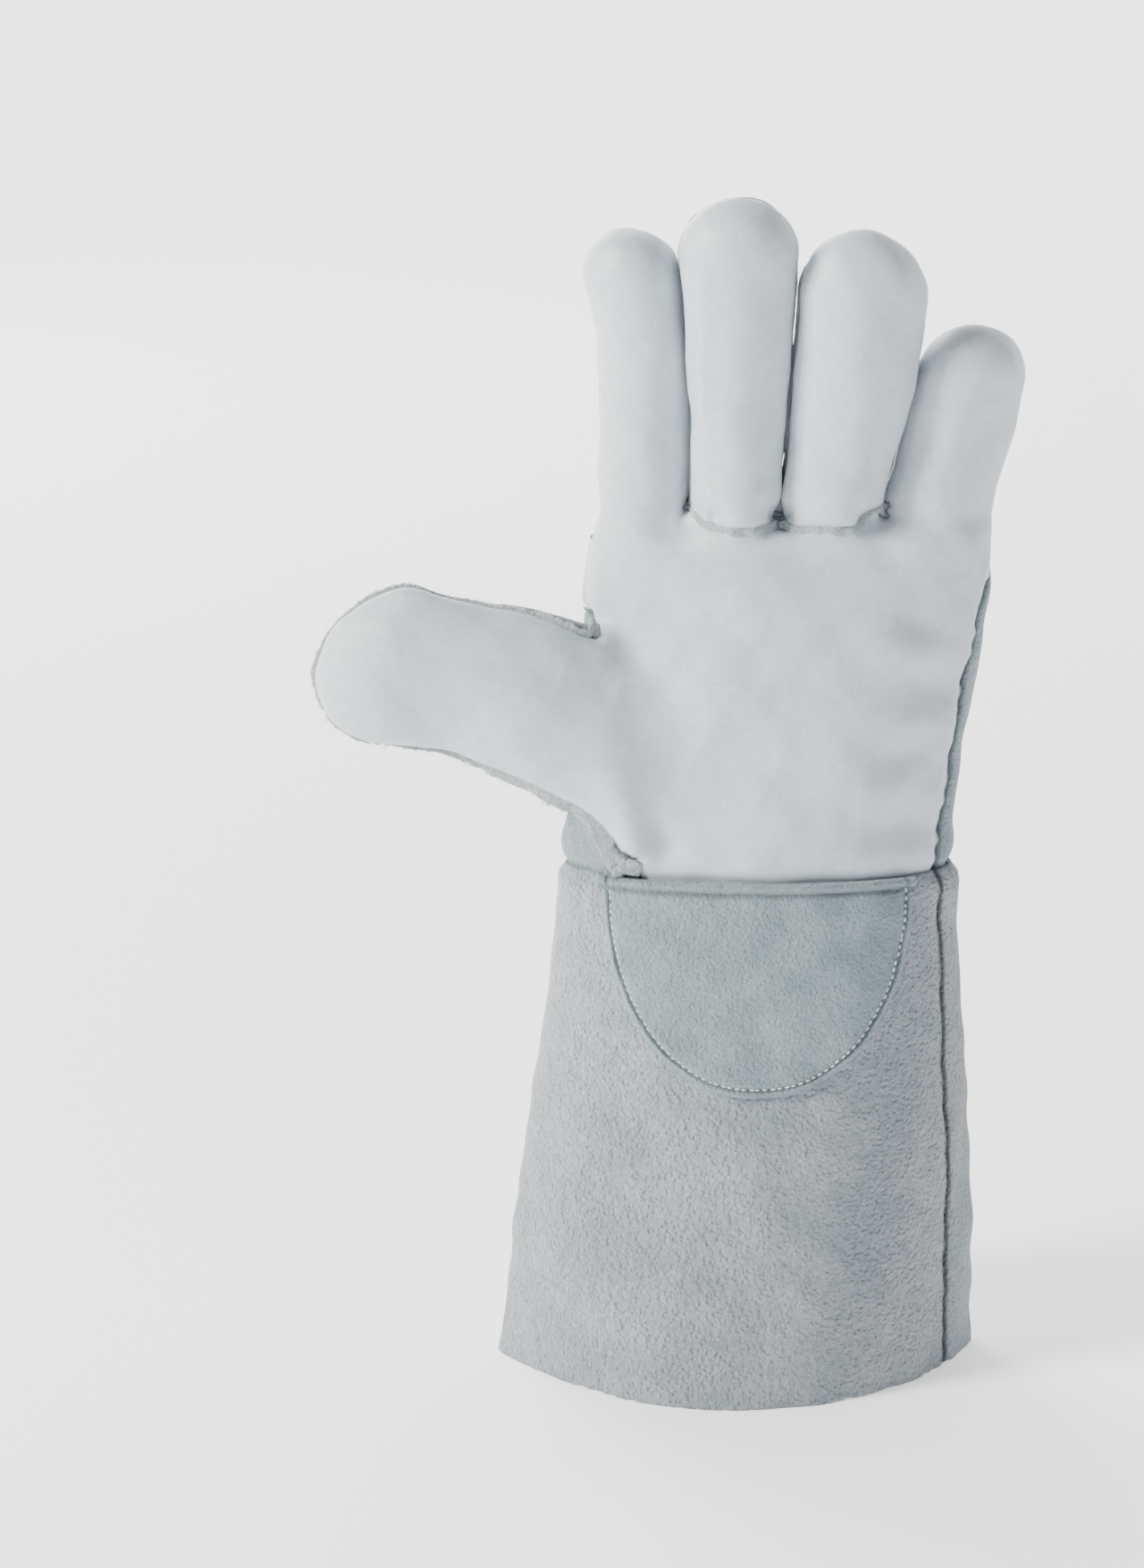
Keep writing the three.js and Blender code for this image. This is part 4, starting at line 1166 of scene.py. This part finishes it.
def studioFloor():
    # a level floor, a quarter circle and a wall: y and z along a profile, carried along x
    turn = np.linspace(0, np.pi / 2, 24)
    y = np.concatenate([[-30], 2.5 + 2 * np.sin(turn), [4.5]])
    z = np.concatenate([[0], 2 - 2 * np.cos(turn), [7]])
    points = np.concatenate([np.stack([x + 0 * y, y, z], 1) for x in (-30.0, 30.0)])
    k = np.arange(len(y) - 1)
    quads = np.stack([k, k + len(y), k + 1 + len(y), k + 1], 1)
    mesh = bpy.data.meshes.new("floor")
    mesh.from_pydata(points.tolist(), [], quads.tolist())
    mesh.polygons.foreach_set("use_smooth", np.ones(len(quads), bool))
    ground = bpy.data.objects.new("floor", mesh)
    bpy.context.collection.objects.link(ground)
    t = Tree("floor")
    t.set(**{"Base Color": (0.95, 0.95, 0.95), "Roughness": 0.9})
    # painted light: the floor and wall glow, from 0.62 near the glove to 2.2 four metres off, so the
    # backdrop reads white and lights the glove
    far = t.node("ShaderNodeVectorMath", {"operation": "LENGTH"}, [t.place()], "Value")
    t.set(**{"Emission Color": t.mix(t.between(far, 0.2, 4.0), (0.62, 0.62, 0.62), (2.2, 2.2, 2.2))})
    t.set(**{"Emission Strength": 1.0})
    mesh.materials.append(t.material)


studioFloor()


def areaLight(name, place, size, power, tone):
    data = bpy.data.lights.new(name, "AREA")
    data.size, data.energy, data.color = size, power, tone
    made = bpy.data.objects.new(name, data)
    made.location = place
    made.rotation_euler = (Vector((0, 0, 0.17)) - Vector(place)).to_track_quat("-Z", "Y").to_euler()
    bpy.context.collection.objects.link(made)


areaLight("key", (-1.55, -0.6, 1.05), 0.5, 74, (1.0, 0.965, 0.91))
areaLight("fill", (1.2, -1.9, 0.9), 1.4, 7, (0.86, 0.93, 1.0))
areaLight("back", (-0.9, 1.7, 1.2), 0.9, 40, (1, 0.98, 0.95))
world = bpy.data.worlds.new("studio")
bpy.context.scene.world = world
world.use_nodes = True
world.node_tree.nodes["Background"].inputs[0].default_value = (0.93, 0.96, 1.0, 1)
world.node_tree.nodes["Background"].inputs[1].default_value = 0.26

camera = bpy.data.objects.new("camera", bpy.data.cameras.new("camera"))
camera.data.lens = 102.3
camera.data.sensor_width = 36
camera.data.clip_end = 50
camera.location = (-0.0493, -1.2557, 0.5115)
camera.rotation_euler = (np.radians(75), 0, 0)
bpy.context.collection.objects.link(camera)
bpy.context.scene.camera = camera
